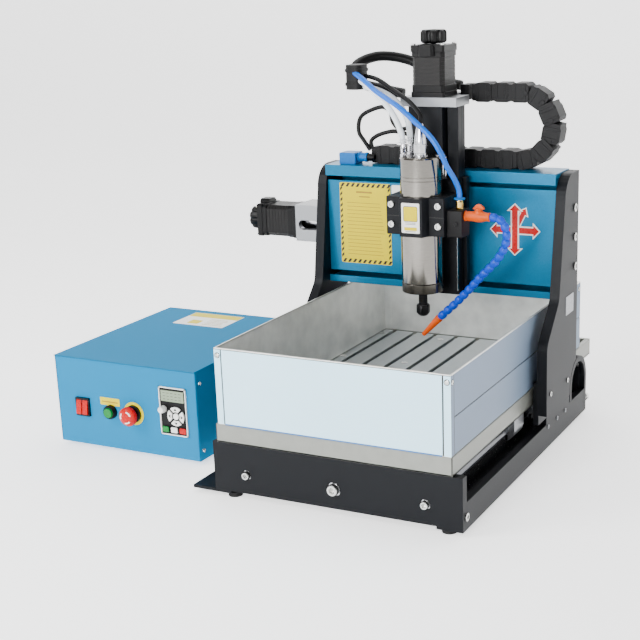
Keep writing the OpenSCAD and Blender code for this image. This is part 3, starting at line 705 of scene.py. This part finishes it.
# ---- table and cistern ----
def make_cistern():
    """The cistern's sheets with their folded edges, and the film still on the outside; the film on the sides
    is a darker copy of the front film, painted shade.
    """
    body = "table"
    sheets, film, gaps = Shape(), Shape(), Shape()
    low, high = 110, 227
    front, right = on_front(-3), on_right(CISTERN_SIDE)
    sheets.box((-184.5, -3, low), (184.5, -2, high - 0.5))
    for s in (-1, 1):
        sheets.box((s * 183.5, -1.8, low), (s * CISTERN_SIDE, 569.6, high - 0.4))
        sheets.box((s * 183.5, 0, high - 2), (s * 185.3, 568, high))
        sheets.box((s * 171, 562.6, low), (s * 183.2, 563, high - 0.5))
        sheets.box((s * 183, 553, low), (s * 183.5, 563, high - 0.5))
    sheets.box((-183.2, 563, low), (183.2, 565, high))
    sheets.box((-185.3, -4, high - 1.4), (185.3, -2, high))
    film.prism(rounded((-173, low + 1.5), (172.5, high - 1.6), 1), front, 0, 1)
    film.box((-185.4, -4, low + 1), (-175, -3, high - 1.6))
    film.box((175, -4, low + 1), (185.4, -3, high - 1.6))
    # The side film: the front's film painted darker, as painted shade.
    side = Shape()
    side.prism(rounded((8, low + 1), (569, 163.5), 1), right, 0, 0.9)
    side.prism(rounded((8, 165.5), (569, high - 2.2), 1), right, 0, 0.9)
    side.prism(rounded((-3.4, low + 1), (6.4, high - 2.2), 0.6), right, 0, 0.9)
    side.box((-185.5, -3, low + 1), (-CISTERN_SIDE, 569, high - 2.2))
    for x in (-174, 173.7):
        gaps.prism(flat(x - 0.7, low + 1, x + 0.7, high - 1.6), front, 0, 0.9)
    gaps.prism(flat(6.5, low + 1, 7.9, high - 2.2), right, 0, 0.8)
    gaps.prism(flat(8, 164.1, 569, 164.9), right, 0, 0.5)
    gaps.prism(flat(-185.3, high - 2.2, 185.3, high - 1.5), on_front(-4), 0, 0.3)
    screws = Shape()
    spots = [((x, -4, 216), FRONTWARD) for x in (-180, 180)]
    spots += [((185.5, y, 215), (1, 0, 0)) for y in (1.5, 560)]
    for spot, way in spots:
        gaps.turned(spot, way, SCREW_SEAT, 24)
        screws.turned(spot, way, SHEET_SCREW, 24)
    parts = ((sheets, "sheets", SHEET), (film, "front_film", FILM), (side, "side_film_painted_shade", SHADED_SIDE_FILM),
             (gaps, "seams", INK), (screws, "screws", ZINC))
    for shape, name, material in parts:
        piece = shape.make("cistern_" + name, body, material, "tray_sheet")
        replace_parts(piece, "cistern_panels")
    line = Shape().prism(flat(-173, low + 0.1, 172, low + 1.7), on_front(-4), 0, 0.3)
    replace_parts(line.make("cistern_edge_line", body, EDGE_BLUE, "tray_sheet"), "cistern_panels")


def make_tray():
    """The tray under the cistern: a rim with mitred corners, walls and a floor."""
    shape, seams = Shape(), Shape()
    x0, x1, y0, y1 = -190, 186.5, -4, 628
    low, top, rim, wall = 82, 108.6, 8, 2
    outer = flat(x0, y0, x1, y1)
    inner = flat(x0 + rim, y0 + rim, x1 - rim, y1 - rim)
    for k in range(4):
        after = (k + 1) % 4
        shape.prism([outer[k], outer[after], inner[after], inner[k]], on_top(0), 108.5, 110)
    shape.box((x0, y0, low), (x1, y0 + wall, top))
    shape.box((x0, y1 - wall, low), (x1, y1, top))
    shape.box((x0, y0, low), (x0 + wall, y1, top))
    shape.box((x1 - wall, y0, low), (x1, y1, top))
    shape.box((x0, y0, low), (x1, y1, low + 3))
    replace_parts(shape.make("drip_tray", "table", TRAY, "tray_sheet", 0.6), "drip_tray")
    for x, y in ((x0, y0), (x1, y0)):
        end = x + (rim if x < 0 else -rim)
        seams.prism([(x, y), (x + 0.6, y), (end + 0.6, y + rim), (end, y + rim)], on_top(110), 0, 0.15)
    seams.prism(flat(x1 - 1.4, 82.5, x1 - 0.6, 109.4), on_front(y0), 0, 0.15)
    seams.prism(flat(x0 + 0.6, 82.5, x0 + 1.4, 109.4), on_front(y0), 0, 0.15)
    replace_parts(seams.make("tray_seams", "table", INK, "tray_sheet"), "drip_tray")


def make_bed():
    """The slotted bed: ten bars whose slots widen below, and the bolts that hold them."""
    low, high = corners("bed_bars")
    slots = [k * 40.75 for k in range(-4, 5)]
    edges = [low.x] + [x for slot in slots for x in (slot - 4, slot + 4)] + [high.x]
    bars, bolts = Shape(), Shape()
    for k in range(10):
        a, b = edges[2 * k], edges[2 * k + 1]
        inner_a = a + (0 if k == 0 else 3)
        inner_b = b - (0 if k == 9 else 3)
        outline = [
            (inner_a, 99.5), (inner_b, 99.5), (inner_b, 103.4), (b, 103.4),
            (b, 108.5), (a, 108.5), (a, 103.4), (inner_a, 103.4),
        ]
        bars.prism(outline, lambda u, v, d: (u, d, v), low.y, high.y)
    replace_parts(bars.make("bed_bars", "table", BED, "aluminium", 0.7), "bed_bars")
    for x in (slots[0] - 14, slots[2] + 20.4, slots[6] - 20.4, slots[8] + 14):
        for y in (36, 196, 380, 535):
            bolts.turned((x, y, 108.5), UP, [(0, 5.6), (0.25, 5.6), (0.3, 4.9), (0.1, 4.6)], 24)
            bolts.turned((x, y, 108.5), UP, [(0, 3.2), (0.35, 3.1)], 6)
    bolts.make("bed_bolts", "table", ZINC, "aluminium")


# ---- Z axis and spindle ----
def make_spindle():
    """The spindle's barrel with its end bands, plug and hose barbs, and the collet nut."""
    body = "z_carriage"
    barrel, band, fittings = Shape(), Shape(), Shape()
    profile = [(16.8, 32), (17.4, 32.5)]
    for z in (92.4, 176, 181.5):
        profile += [(z, 32.5), (z + 0.4, 32), (z + 1.2, 32), (z + 1.6, 32.5)]
    profile += [(209.4, 32.5), (211, 31)]
    barrel.turned((SPIN_X, SPIN_Y, SPIN_LOW), UP, profile, 64)
    foot = [(0, 28), (0.6, 30.6), (1.6, 32.3), (3, 32.5), (15.6, 32.5), (16.8, 31.6)]
    band.turned((SPIN_X, SPIN_Y, SPIN_LOW), UP, foot, 64)
    band.turned((SPIN_X, SPIN_Y, SPIN_LOW - 1.5), UP, [(0, 15), (0.4, 16), (2, 16)], 48)
    band.turned((SPIN_X, SPIN_Y, SPIN_TOP), UP, [(0, 28.5), (0.8, 28.5), (1, 28)], 48)
    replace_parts(barrel.make("spindle_barrel", body, BRUSHED, "spindle_steel"), "spindle_body")
    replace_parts(band.make("spindle_ends", body, BAND, "spindle_steel"), "spindle_body")
    for k in range(4):
        angle = math.radians(20 + 90 * k)
        spot = (SPIN_X + 26 * math.cos(angle), SPIN_Y + 26 * math.sin(angle), SPIN_TOP)
        socket_head(fittings, spot, UP, 2.6, 2.2)
    fittings.turned((SPIN_X, SPIN_Y, SPIN_TOP), UP, [
        (0, 11.5), (2.5, 11.5), (3, 10), (6, 10), (6.4, 10.6), (19, 10.6), (19.6, 9.8), (24, 9.8),
        (30, 9), (38, 7.4), (46, 6), (50.5, 5),
    ], 32, lambda angle, ring: 1 - 0.04 * math.cos(18 * angle) if ring in (4, 5) else 1)
    for x, y in ((-13, 290), (-11, 311)):
        fittings.turned((x, y, SPIN_TOP), UP, [(0, 5.2), (5, 5.2)], 6)
        barb = [(5, 3.4), (7, 3.4)]
        for z in (7.2, 10.2, 13.2):
            barb += [(z, 4.6), (z + 2.8, 3.8)]
        barb.append((20, 3.6))
        fittings.turned((x, y, SPIN_TOP), UP, barb, 20)
        for z in (21.2, 25.4):
            fittings.turned((x, y, SPIN_TOP + z), UP, [(0, 5.1), (0.2, 5.5), (1.8, 5.5), (2, 5.1)], 24)
        fittings.box((x - 8.2, y - 1.6, SPIN_TOP + 21.4), (x - 4.8, y + 1.6, SPIN_TOP + 23))
    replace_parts(fittings.make("spindle_fittings", body, STEEL, "brass"), "pipe_fittings")
    nut = Shape()
    nut.turned((SPIN_X, SPIN_Y, 218), UP, [
        (0, 3), (0, 6), (1.2, 7.6), (3.5, 9.4), (5, 10.4), (16.5, 10.5), (18, 9.6), (18, 7),
        (41, 7), (50, 7),
    ], 48, lambda angle, ring: hexagon(angle + 0.2) * 1.07 if ring in (4, 5) else 1)
    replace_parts(nut.make("collet_nut", "rotor", NUT, "nut_steel"), "spindle_shaft")


def make_clamp():
    """The clamp's label and screws, bright zinc strips on the slide plate's bare edges as a painted
    highlight, and the coolant block.
    """
    body = "z_carriage"
    plate, mark, rims = Shape(), Shape(), Shape()
    face = on_front(258)
    plate.prism(rounded((-3.4, 357.5), (26.4, 403.5), 1.5), face, 0, 0.5)
    plate.make("clamp_plate", body, PALE, "dark_plate")
    mark.prism(rounded((0.4, 376), (22.6, 398), 2.4), face, 0.5, 0.7)
    mark.prism(flat(1, 361.5, 22, 366.5), face, 0.5, 0.7)
    mark.make("clamp_plate_mark", body, YELLOW, "dark_plate")
    rims.prism(rounded((-0.4, 375.2), (23.4, 398.8), 2.8), face, 0.45, 0.6)
    for v in (370.8, 373, 359.6):
        rims.prism(flat(3, v, 20, v + 0.7), face, 0.5, 0.65)
    rims.prism(flat(SPIN_X - 48, 379.6, SPIN_X - 24, 380.8), on_front(274), 0, 0.15)
    rims.prism(flat(SPIN_X + 24, 379.6, SPIN_X + 48, 380.8), on_front(274), 0, 0.15)
    rims.make("clamp_plate_lines", body, INK, "dark_plate")
    screws = Shape()
    for x in (-39, 39):
        for z in (367, 398):
            socket_head(screws, (SPIN_X + x, 274, z), FRONTWARD, 5.4, 4)
    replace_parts(screws.make("clamp_screws", body, ZINC, "zinc"), "clamp_screws")
    # Bright zinc strips along the slide plate's edges: bare metal edges, made bright as a painted highlight.
    edges = Shape()
    for s in (-1, 1):
        edges.box((SPIN_X + s * 43.4, 336.4, 252.5), (SPIN_X + s * 44.2, 338.4, 348))
        edges.box((SPIN_X + s * 43.4, 336.4, 412), (SPIN_X + s * 44.2, 338.4, 429.5))
    edges.make("slide_plate_edge_highlights", body, ZINC, "dark_plate")
    manifold = Shape()
    manifold.prism(rounded((285, 349), (317, 390.6), 2), lambda u, v, d: (59.6 + d, u, v), 0, 25)
    manifold.turned((75, 284.6, 370), FRONTWARD, [(0, 4), (1.4, 3.8), (1.4, 2)], 6)
    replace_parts(manifold.make("coolant_manifold", body, BLACK, "black_plastic", 0.8), "coolant_manifold")


def make_coolant():
    """The brass fitting, the orange tap with its lever, and the blue jointed hose with its nozzle."""
    body = "z_carriage"
    brass, collar, tap = Shape(), Shape(), Shape()
    brass.turned((75, SPIN_Y, 390.6), UP, [(0, 6), (3, 6.4), (3.4, 5.6)], 6)
    brass.turned((75, SPIN_Y, 393.6), UP, [(0, 5.4), (0.6, 6.2), (8.6, 6.2), (9.6, 5.4), (11, 5.2)], 24)
    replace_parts(brass.make("brass_fitting", body, BRASS, "brass"), "pipe_fittings")
    collar.turned((75, SPIN_Y, 404.4), UP, [
        (0, 4.8), (1, 5), (1.6, 8.4), (3, 8.8), (3.8, 8.4), (4.4, 5),
    ], 32)
    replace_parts(collar.make("fitting_collar", body, SOCKET_BLUE, "blue_plastic"), "pipe_fittings")
    tap.turned((83, SPIN_Y, TAP_Z), (1, 0, 0), [
        (0, 5), (0.4, 7.4), (1.4, 8), (2.6, 8), (3.4, 7), (5, 6.6), (8, 7.2), (14, 7.4), (17, 8.2),
        (23, 8.6), (28, 8.4), (33, 7.2), (37, 6.2), (38.4, 6.6), (41, 6.8), (42, 5.6),
    ], 32)
    tap.turned((106, SPIN_Y, TAP_Z), UP, [(0, 7), (8, 6.6), (9.2, 6)], 24)
    for angle in range(0, 360, 60):
        dy, dz = 6.9 * math.cos(math.radians(angle)), 6.9 * math.sin(math.radians(angle))
        tap.rod((88, SPIN_Y + dy, TAP_Z + dz), (97, SPIN_Y + dy, TAP_Z + dz), 0.9, 8)
    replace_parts(tap.make("coolant_valve", body, ORANGE, "orange_plastic"), "coolant_valve")
    lever = Shape()
    lever.turned((106, SPIN_Y, 390.4), UP, [(0, 6), (2.6, 6), (3.6, 5.2)], 24)
    wing = [(96.5, 392.5), (115.5, 392.5), (114.6, 395.4), (109.6, 399.8), (104.6, 400.2), (102.4, 398.8),
            (99.4, 395)]
    lever.prism(wing, lambda u, v, d: (u, SPIN_Y + d, v), -2.6, 2.6)
    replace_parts(lever.make("valve_lever", "lever", ORANGE, "orange_plastic", 0.5), "valve_lever")
    beads(JOINTED, 15, "jointed_hose", "hose", "coolant_hose")
    beads(NOZZLE, 3, "nozzle_beads", "nozzle", "coolant_nozzle")
    tip = Shape()
    start, end = Vector((40, 300, 217)), Vector((11, 300, 186))
    length = (end - start).length
    tip.turned(start, end - start, [
        (0, 5.6), (1, 6.2), (5, 6.2), (6, 5.6), (7, 5.8), (length - 1, 3.4), (length, 3.1), (length, 2),
        (length - 4, 1.8),
    ], 28)
    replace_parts(tip.make("nozzle_tip", "nozzle", ORANGE, "orange_plastic"), "coolant_nozzle")


JOINTED = [(125.6, 300, 381), (136, 300, 381), (148, 300, 370), (151, 300, 345), (136, 300, 316),
           (112, 300, 291), (90, 300, 266), (67.5, 300, 242.6)]
NOZZLE = [(67, 300, 242), (53, 300, 229), (39, 300, 216)]


def beads(route, count, name, body, node):
    """A row of ball-and-socket links along a route."""
    points = spline(route, 24)
    gone = [0.0]
    for a, b in zip(points, points[1:]):
        gone.append(gone[-1] + (b - a).length)

    def along(distance):
        """The point at a distance along the route."""
        k = max(i for i, g in enumerate(gone) if g <= distance or i == 0)
        k = min(k, len(points) - 2)
        share = (distance - gone[k]) / (gone[k + 1] - gone[k])
        return points[k].lerp(points[k + 1], min(1, share))

    step = gone[-1] / count
    shape = Shape()
    for k in range(count):
        a, b = along(k * step), along((k + 1) * step)
        size = (b - a).length
        profile = [(-1.2, 3.8), (0, 5.6), (size * 0.16, 6.4), (size * 0.42, 6.6), (size * 0.66, 6.3),
                   (size * 0.8, 5.2), (size * 0.92, 4.4), (size * 1.1, 4.1)]
        shape.turned(a, b - a, profile, 24)
    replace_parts(shape.make(name, body, HOSE_BLUE, "blue_plastic"), node)


# ---- controller ----
def make_controller():
    """The labels, screws, vents and rear sockets of the controller's case."""
    x0, x1, y1 = -565, -288, 427
    label, band, ink = Shape(), Shape(), Shape()
    label.prism(rounded((-494, 331), (-390, 408), 2), on_top(LID_TOP), 0, 0.4)
    label.make("lid_label", "frame", PALE, "blue_sheet")
    band.prism(rounded((-493, 383), (-391, 407), 1.5), on_top(LID_TOP), 0.4, 0.55)
    band.prism(rounded((-470, 340), (-448, 362), 2), on_top(LID_TOP), 0.4, 0.55)
    band.prism(rounded((-478, 74), (-439, 87), 1), on_front(CASE_FRONT), 0, 0.4)
    band.turned((-412, CASE_FRONT, 66), FRONTWARD, [(0, 19.5), (0.6, 19.5), (0.7, 19)], 48)
    band.make("yellow_labels", "frame", YELLOW, "blue_sheet")
    for k in range(5):
        ink.prism(flat(-438, 340 + k * 8, -397 - (k * 13) % 9, 341.6 + k * 8), on_top(LID_TOP), 0.4, 0.5)
    ink.prism(flat(-474, 79, -443, 81), on_front(CASE_FRONT), 0.4, 0.5)
    ink.make("label_rules", "frame", FAINT, "blue_sheet")
    screws, vents, rear = Shape(), Shape(), Shape()
    for y in (104, 262, 416):
        for x, way in ((x0, -1), (x1, 1)):
            for z in (16, 128):
                screws.turned((x, y, z), (way, 0, 0), CASE_SCREW, 20)
    for x in (-550, -303):
        for z in (14, 132):
            screws.turned((x, y1, z), (0, 1, 0), CASE_SCREW, 20)
    screws.make("case_screws", "frame", ZINC, "zinc")
    for k in range(9):
        y = 300 + k * 11
        vents.prism(rounded((y, 40), (y + 4, 104), 1.9), on_right(x1), 0, 0.25)
        vents.prism(rounded((y, 40), (y + 4, 104), 1.9), lambda u, v, d: (x0 - d, u, v), 0, 0.25)
    for k in range(6):
        vents.turned((-500, y1, 86), (0, 1, 0), [(0.1 * k, 32 - 5 * k), (0.6, 30.6 - 5 * k)], 48)
    vents.make("vents", "frame", INK, "blue_sheet")
    rear.prism(rounded((326, 24), (374, 52), 3), on_back(y1), 0, 2.5)
    rear.prism(rounded((340, 76), (372, 108), 14), on_back(y1), 0, 3.5)
    rear.prism(rounded((392, 76), (424, 108), 14), on_back(y1), 0, 3.5)
    rear.prism(rounded((450, 20), (476, 34), 3), on_back(y1), 0, 3)
    rear.make("rear_sockets", "frame", BLACK, "black_plastic", 0.6)


def make_controls():
    """The switches and buttons on the controller's front, each on its own body."""
    y = CASE_FRONT
    face = on_front(y)
    bezel = Shape()
    for u0, u1 in ((-526.5, -523.8), (-514.2, -511.8), (-502.2, -499.5)):
        bezel.prism(flat(u0, 51, u1, 81), face, 0, 4.2)
    for v0, v1 in ((50.5, 53.2), (78.8, 81.5)):
        bezel.prism(rounded((-526.5, v0), (-499.5, v1), 1), face, 0, 4.6)
    bezel.turned((-457, y, 64), FRONTWARD, [(0, 11.5), (7, 11.5), (9, 10.4), (9, 9.2), (4, 9)], 40)
    bezel.turned((-412, y, 66), FRONTWARD, [(0, 14.5), (4, 14.5), (5, 13.5), (5, 8.6)], 40)
    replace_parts(bezel.make("switch_bezels", "frame", BLACK, "black_plastic"), "switch_bezels")
    for x, name in ((-519, "left"), (-507, "right")):
        wave = [
            (-12, 3.4), (-12, 7.4), (-8, 7.6), (-3, 6.4), (0, 5.9), (3, 6.2), (8, 5), (12, 4.2), (12, 2.4),
        ]
        shape = Shape()
        shape.prism(wave, lambda u, v, d, x=x: (x + d, y - v, 66 + u), -5, 5)
        shape.rod((x - 5.3, y - 4.35, 66), (x + 5.3, y - 4.35, 66), 1.5, 16)
        piece = shape.make("rocker_" + name, name + "_rocker", RED, "red_plastic", 0.4)
        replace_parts(piece, "rocker_" + name)
    start = Shape()
    start.turned((-457, y - 4, 64), FRONTWARD, [(0, 8.4), (6.4, 8.4), (7.6, 7.6), (8, 6.2), (7.4, 4)], 40)
    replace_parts(start.make("start_button", "start", GREEN, "green_plastic"), "start_button")
    stop = Shape()
    stop.turned((-412, y - 5, 66), FRONTWARD, [
        (0, 8), (5.4, 8), (6, 14), (8.4, 16), (13, 16), (16.4, 13.6), (18.4, 9), (19, 4),
    ], 48, lambda angle, ring: 1 - 0.035 * max(0, math.cos(3 * angle)) if 2 <= ring <= 5 else 1)
    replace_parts(stop.make("stop_button", "stop", RED, "red_plastic"), "stop_button")
    mark = Shape()
    for turn in range(3):
        base = math.radians(120 * turn)
        curve = [math.radians(a) + base for a in range(20, 90, 10)]
        outline = [(-412 + 10.6 * math.cos(a), 66 + 10.6 * math.sin(a)) for a in curve]
        outline += [(-412 + 8.4 * math.cos(a), 66 + 8.4 * math.sin(a)) for a in reversed(curve)]
        mark.prism(outline, on_front(y - 5), 17.2, 18.6)
    mark.make("stop_marks", "stop", PALE, "red_plastic")


def make_keypad():
    """The speed keypad: frame, display, knob, four arrow keys round a middle key, three keys below."""
    x, y, z = -358.7, CASE_FRONT, 39.4
    face = on_front(y)
    ring = (x + 31, z + 33)
    panel, border, lcd = Shape(), Shape(), Shape()
    panel.prism(rounded((x + 0.6, z + 0.6), (x + 50.5, z + 79.6), 2), face, 0, 0.9)
    border_lines = ((x, z, x + 51.1, z + 1.6), (x, z + 78.6, x + 51.1, z + 80.2),
                    (x, z, x + 1.6, z + 80.2), (x + 49.5, z, x + 51.1, z + 80.2))
    for line in border_lines:
        border.prism(flat(*line), face, 0, 2.8)
    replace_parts(panel.make("keypad_panel", "frame", BLACK, "black_plastic"), "keypad_panel")
    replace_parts(border.make("keypad_border", "frame", PALE, "black_plastic"), "keypad_panel")
    lcd.prism(rounded((x + 4, z + 56.6), (x + 47, z + 74.6), 1), face, 0.9, 2.6)
    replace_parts(lcd.make("keypad_display", "frame", SCREEN, "black_plastic"), "keypad_panel")
    digits = Shape()
    for k in range(5):
        u = x + 8 + k * 7.4
        for v0, v1 in ((60, 60.8), (65, 65.8), (70.2, 71)):
            digits.prism(flat(u, z + v0, u + 4.4, z + v1), face, 2.6, 2.7)
    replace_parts(digits.make("display_segments", "frame", SEGMENT, "black_plastic"), "keypad_panel")
    knob = Shape()
    knob.turned((x + 9, y - 1.2, z + 44), FRONTWARD, [
        (0, 3), (2.2, 3), (2.3, 5.5), (10, 5.4), (12.4, 4.8), (12.8, 3.6),
    ], 36, lambda angle, part: 1 - 0.05 * math.cos(18 * angle) if part in (2, 3, 4) else 1)
    knob.box((x + 8.6, y - 14.2, z + 45), (x + 9.4, y - 13.6, z + 49))
    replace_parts(knob.make("speed_knob", "knob", WHITE, "white_plastic"), "speed_knob")
    for turn, name in ((90, "up"), (180, "left"), (270, "down"), (0, "right")):
        sector, sign = Shape(), Shape()
        outer = [math.radians(turn + a) for a in range(-38, 39, 4)]
        inner = [math.radians(turn + a) for a in range(32, -33, -8)]
        outline = [(ring[0] + 15.7 * math.cos(a), ring[1] + 15.7 * math.sin(a)) for a in outer]
        outline += [(ring[0] + 7.6 * math.cos(a), ring[1] + 7.6 * math.sin(a)) for a in inner]
        sector.prism(outline, face, 2, 4.2)
        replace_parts(sector.make("key_" + name, name + "_key", WHITE, "white_plastic", 0.3), "key_" + name)
        ahead = Vector((math.cos(math.radians(turn)), math.sin(math.radians(turn))))
        across = Vector((-ahead.y, ahead.x))
        middle = Vector(ring) + ahead * 11.6
        tip = [middle + ahead * 2.4, middle - ahead * 1.8 + across * 3, middle - ahead * 1.8 - across * 3]
        sign.prism([(p.x, p.y) for p in tip], face, 4.2, 4.3)
        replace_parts(sign.make("mark_" + name, name + "_key", INK, "white_plastic"), "key_" + name)
    middle = Shape().turned((ring[0], y - 2, ring[1]), FRONTWARD, [(0, 5.3), (1.8, 5.3), (2.2, 4.8)], 32)
    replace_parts(middle.make("key_enter", "enter_key", WHITE, "white_plastic"), "key_enter")
    for u, name, material, slot in (
        (9.8, "run", GREEN, "green_plastic"), (26, "mode", WHITE, "white_plastic"),
        (42.5, "stop", RED, "red_plastic"),
    ):
        key = Shape().prism(rounded((x + u - 6, z + 5), (x + u + 6, z + 14), 1.6), face, 2, 4.2)
        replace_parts(key.make("key_" + name, name + "_key", material, slot, 0.3), "key_" + name)


make_drives()
make_base()
make_beam()
make_chain()
make_cistern()
make_tray()
make_bed()
make_spindle()
make_clamp()
make_coolant()
make_controller()
make_controls()
make_keypad()


# ---- surroundings ----
def sheet_of_paper(name, points, faces, paper):
    """One sheet of the backdrop, from points in metres."""
    mesh = bpy.data.meshes.new(name)
    mesh.from_pydata(points, [], faces)
    for face in mesh.polygons:
        face.use_smooth = True
    sheet = bpy.data.objects.new(name, mesh)
    bpy.context.collection.objects.link(sheet)
    mesh.materials.append(paper)


def make_stage():
    """A pale floor that bends up into a wall behind, with low walls far off on the other sides."""
    back, front, side, bend, high, low = 3.5, -14.0, 24.0, 1.2, 8.0, 5.0
    turns = [a * math.pi / 24 for a in range(13)]
    profile = [(front, low)]
    profile += [(front + bend - bend * math.sin(a), bend - bend * math.cos(a)) for a in turns[::-1]]
    profile += [(back - bend + bend * math.sin(a), bend - bend * math.cos(a)) for a in turns]
    profile.append((back, high))
    paper = paint("backdrop_paper", (0.9, 0.9, 0.9, 1), 0.9, spread=0.005, grain=3, bump=0, shine=0)
    glow = paper.node_tree.nodes["Principled BSDF"]
    glow.inputs["Emission Color"].default_value = (1, 1, 1, 1)
    glow.inputs["Emission Strength"].default_value = 1.3
    points = [(x, y, z) for y, z in profile for x in (-side, side)]
    faces = [(2 * i, 2 * i + 1, 2 * i + 3, 2 * i + 2) for i in range(len(profile) - 1)]
    sheet_of_paper("backdrop", points, faces, paper)
    for x, name in ((-side, "backdrop_left"), (side, "backdrop_right")):
        points = [(x, front, 0), (x, back, 0), (x, back, low), (x, front, low)]
        sheet_of_paper(name, points, [(0, 1, 2, 3)], paper)


def lamp(name, place, aim, power, size):
    """A rectangular area light that looks at a point; lengths in metres."""
    data = bpy.data.lights.new(name, "AREA")
    data.shape = "RECTANGLE"
    data.size, data.size_y = size
    data.energy = power
    light = bpy.data.objects.new(name, data)
    light.location = place
    light.rotation_euler = (Vector(place) - Vector(aim)).to_track_quat("Z", "Y").to_euler()
    bpy.context.collection.objects.link(light)


def make_light():
    """A soft sky, brighter on the left, and three lamps."""
    world = bpy.data.worlds.new("studio")
    bpy.context.scene.world = world
    world.use_nodes = True
    nodes = world.node_tree.nodes
    link = world.node_tree.links.new
    sky = nodes["Background"]
    sky.inputs["Strength"].default_value = 0.42
    place = nodes.new("ShaderNodeTexCoord")
    split = nodes.new("ShaderNodeSeparateXYZ")
    ramp = nodes.new("ShaderNodeValToRGB")
    shift = nodes.new("ShaderNodeMapRange")
    shift.inputs["From Min"].default_value = -1
    ramp.color_ramp.elements[0].position = 0.35
    ramp.color_ramp.elements[0].color = (1, 1, 1, 1)
    ramp.color_ramp.elements[1].position = 0.85
    ramp.color_ramp.elements[1].color = (0.1, 0.1, 0.11, 1)
    link(place.outputs["Generated"], split.inputs["Vector"])
    link(split.outputs["X"], shift.inputs["Value"])
    link(shift.outputs["Result"], ramp.inputs["Fac"])
    link(ramp.outputs["Color"], sky.inputs["Color"])
    lamp("key", (-1.5, -1.8, 1.9), (0, 0, 0.2), 60, (1.1, 1.2))
    lamp("front", (0.0, -2.9, 0.9), (0, 0, 0.2), 75, (0.9, 0.9))
    lamp("top", (-0.1, 0.3, 2.6), (0, 0, 0.2), 34, (1.6, 1.6))


make_stage()
make_light()

# ---- plain CAD nodes ----
PAINTS = {
    "dark_plate": ANODISED, "blue_coat": BEAM_BLUE, "blue_sheet": CASE_BLUE, "tray_sheet": SHEET,
    "aluminium": MILLED, "ground_steel": STEEL, "spindle_steel": BRUSHED, "zinc": ZINC, "brass": BRASS,
    "nut_steel": NUT, "motor_black": MOTOR, "black_plastic": BLACK, "cable_black": SOFT_BLACK,
    "blue_plastic": HOSE_BLUE, "orange_plastic": ORANGE, "red_plastic": RED,
    "green_plastic": GREEN, "white_plastic": WHITE, "clear_hose": CLEAR, "blue_hose": TUBE_BLUE,
    "rubber": RUBBER,
}
ROUNDED = {
    "base_end_plates": 0.8, "base_channel": 0.6, "gantry_left_plate": 1, "gantry_right_plate": 1,
    "gantry_beam": 0.8, "controller_case": 0.8, "controller_lid": 0.8, "spindle_clamp": 0.8,
    "z_top_plate": 0.8, "x_motor_bracket": 0.6, "z_column": 0.6,
}
for entry in frame["record"]["subparts"]:
    dress(entry["node"], PAINTS[entry["material_slot"]], ROUNDED.get(entry["node"], 0))
dress("bed_base", BED_BASE)
dress("y_guide_rails", RAIL)
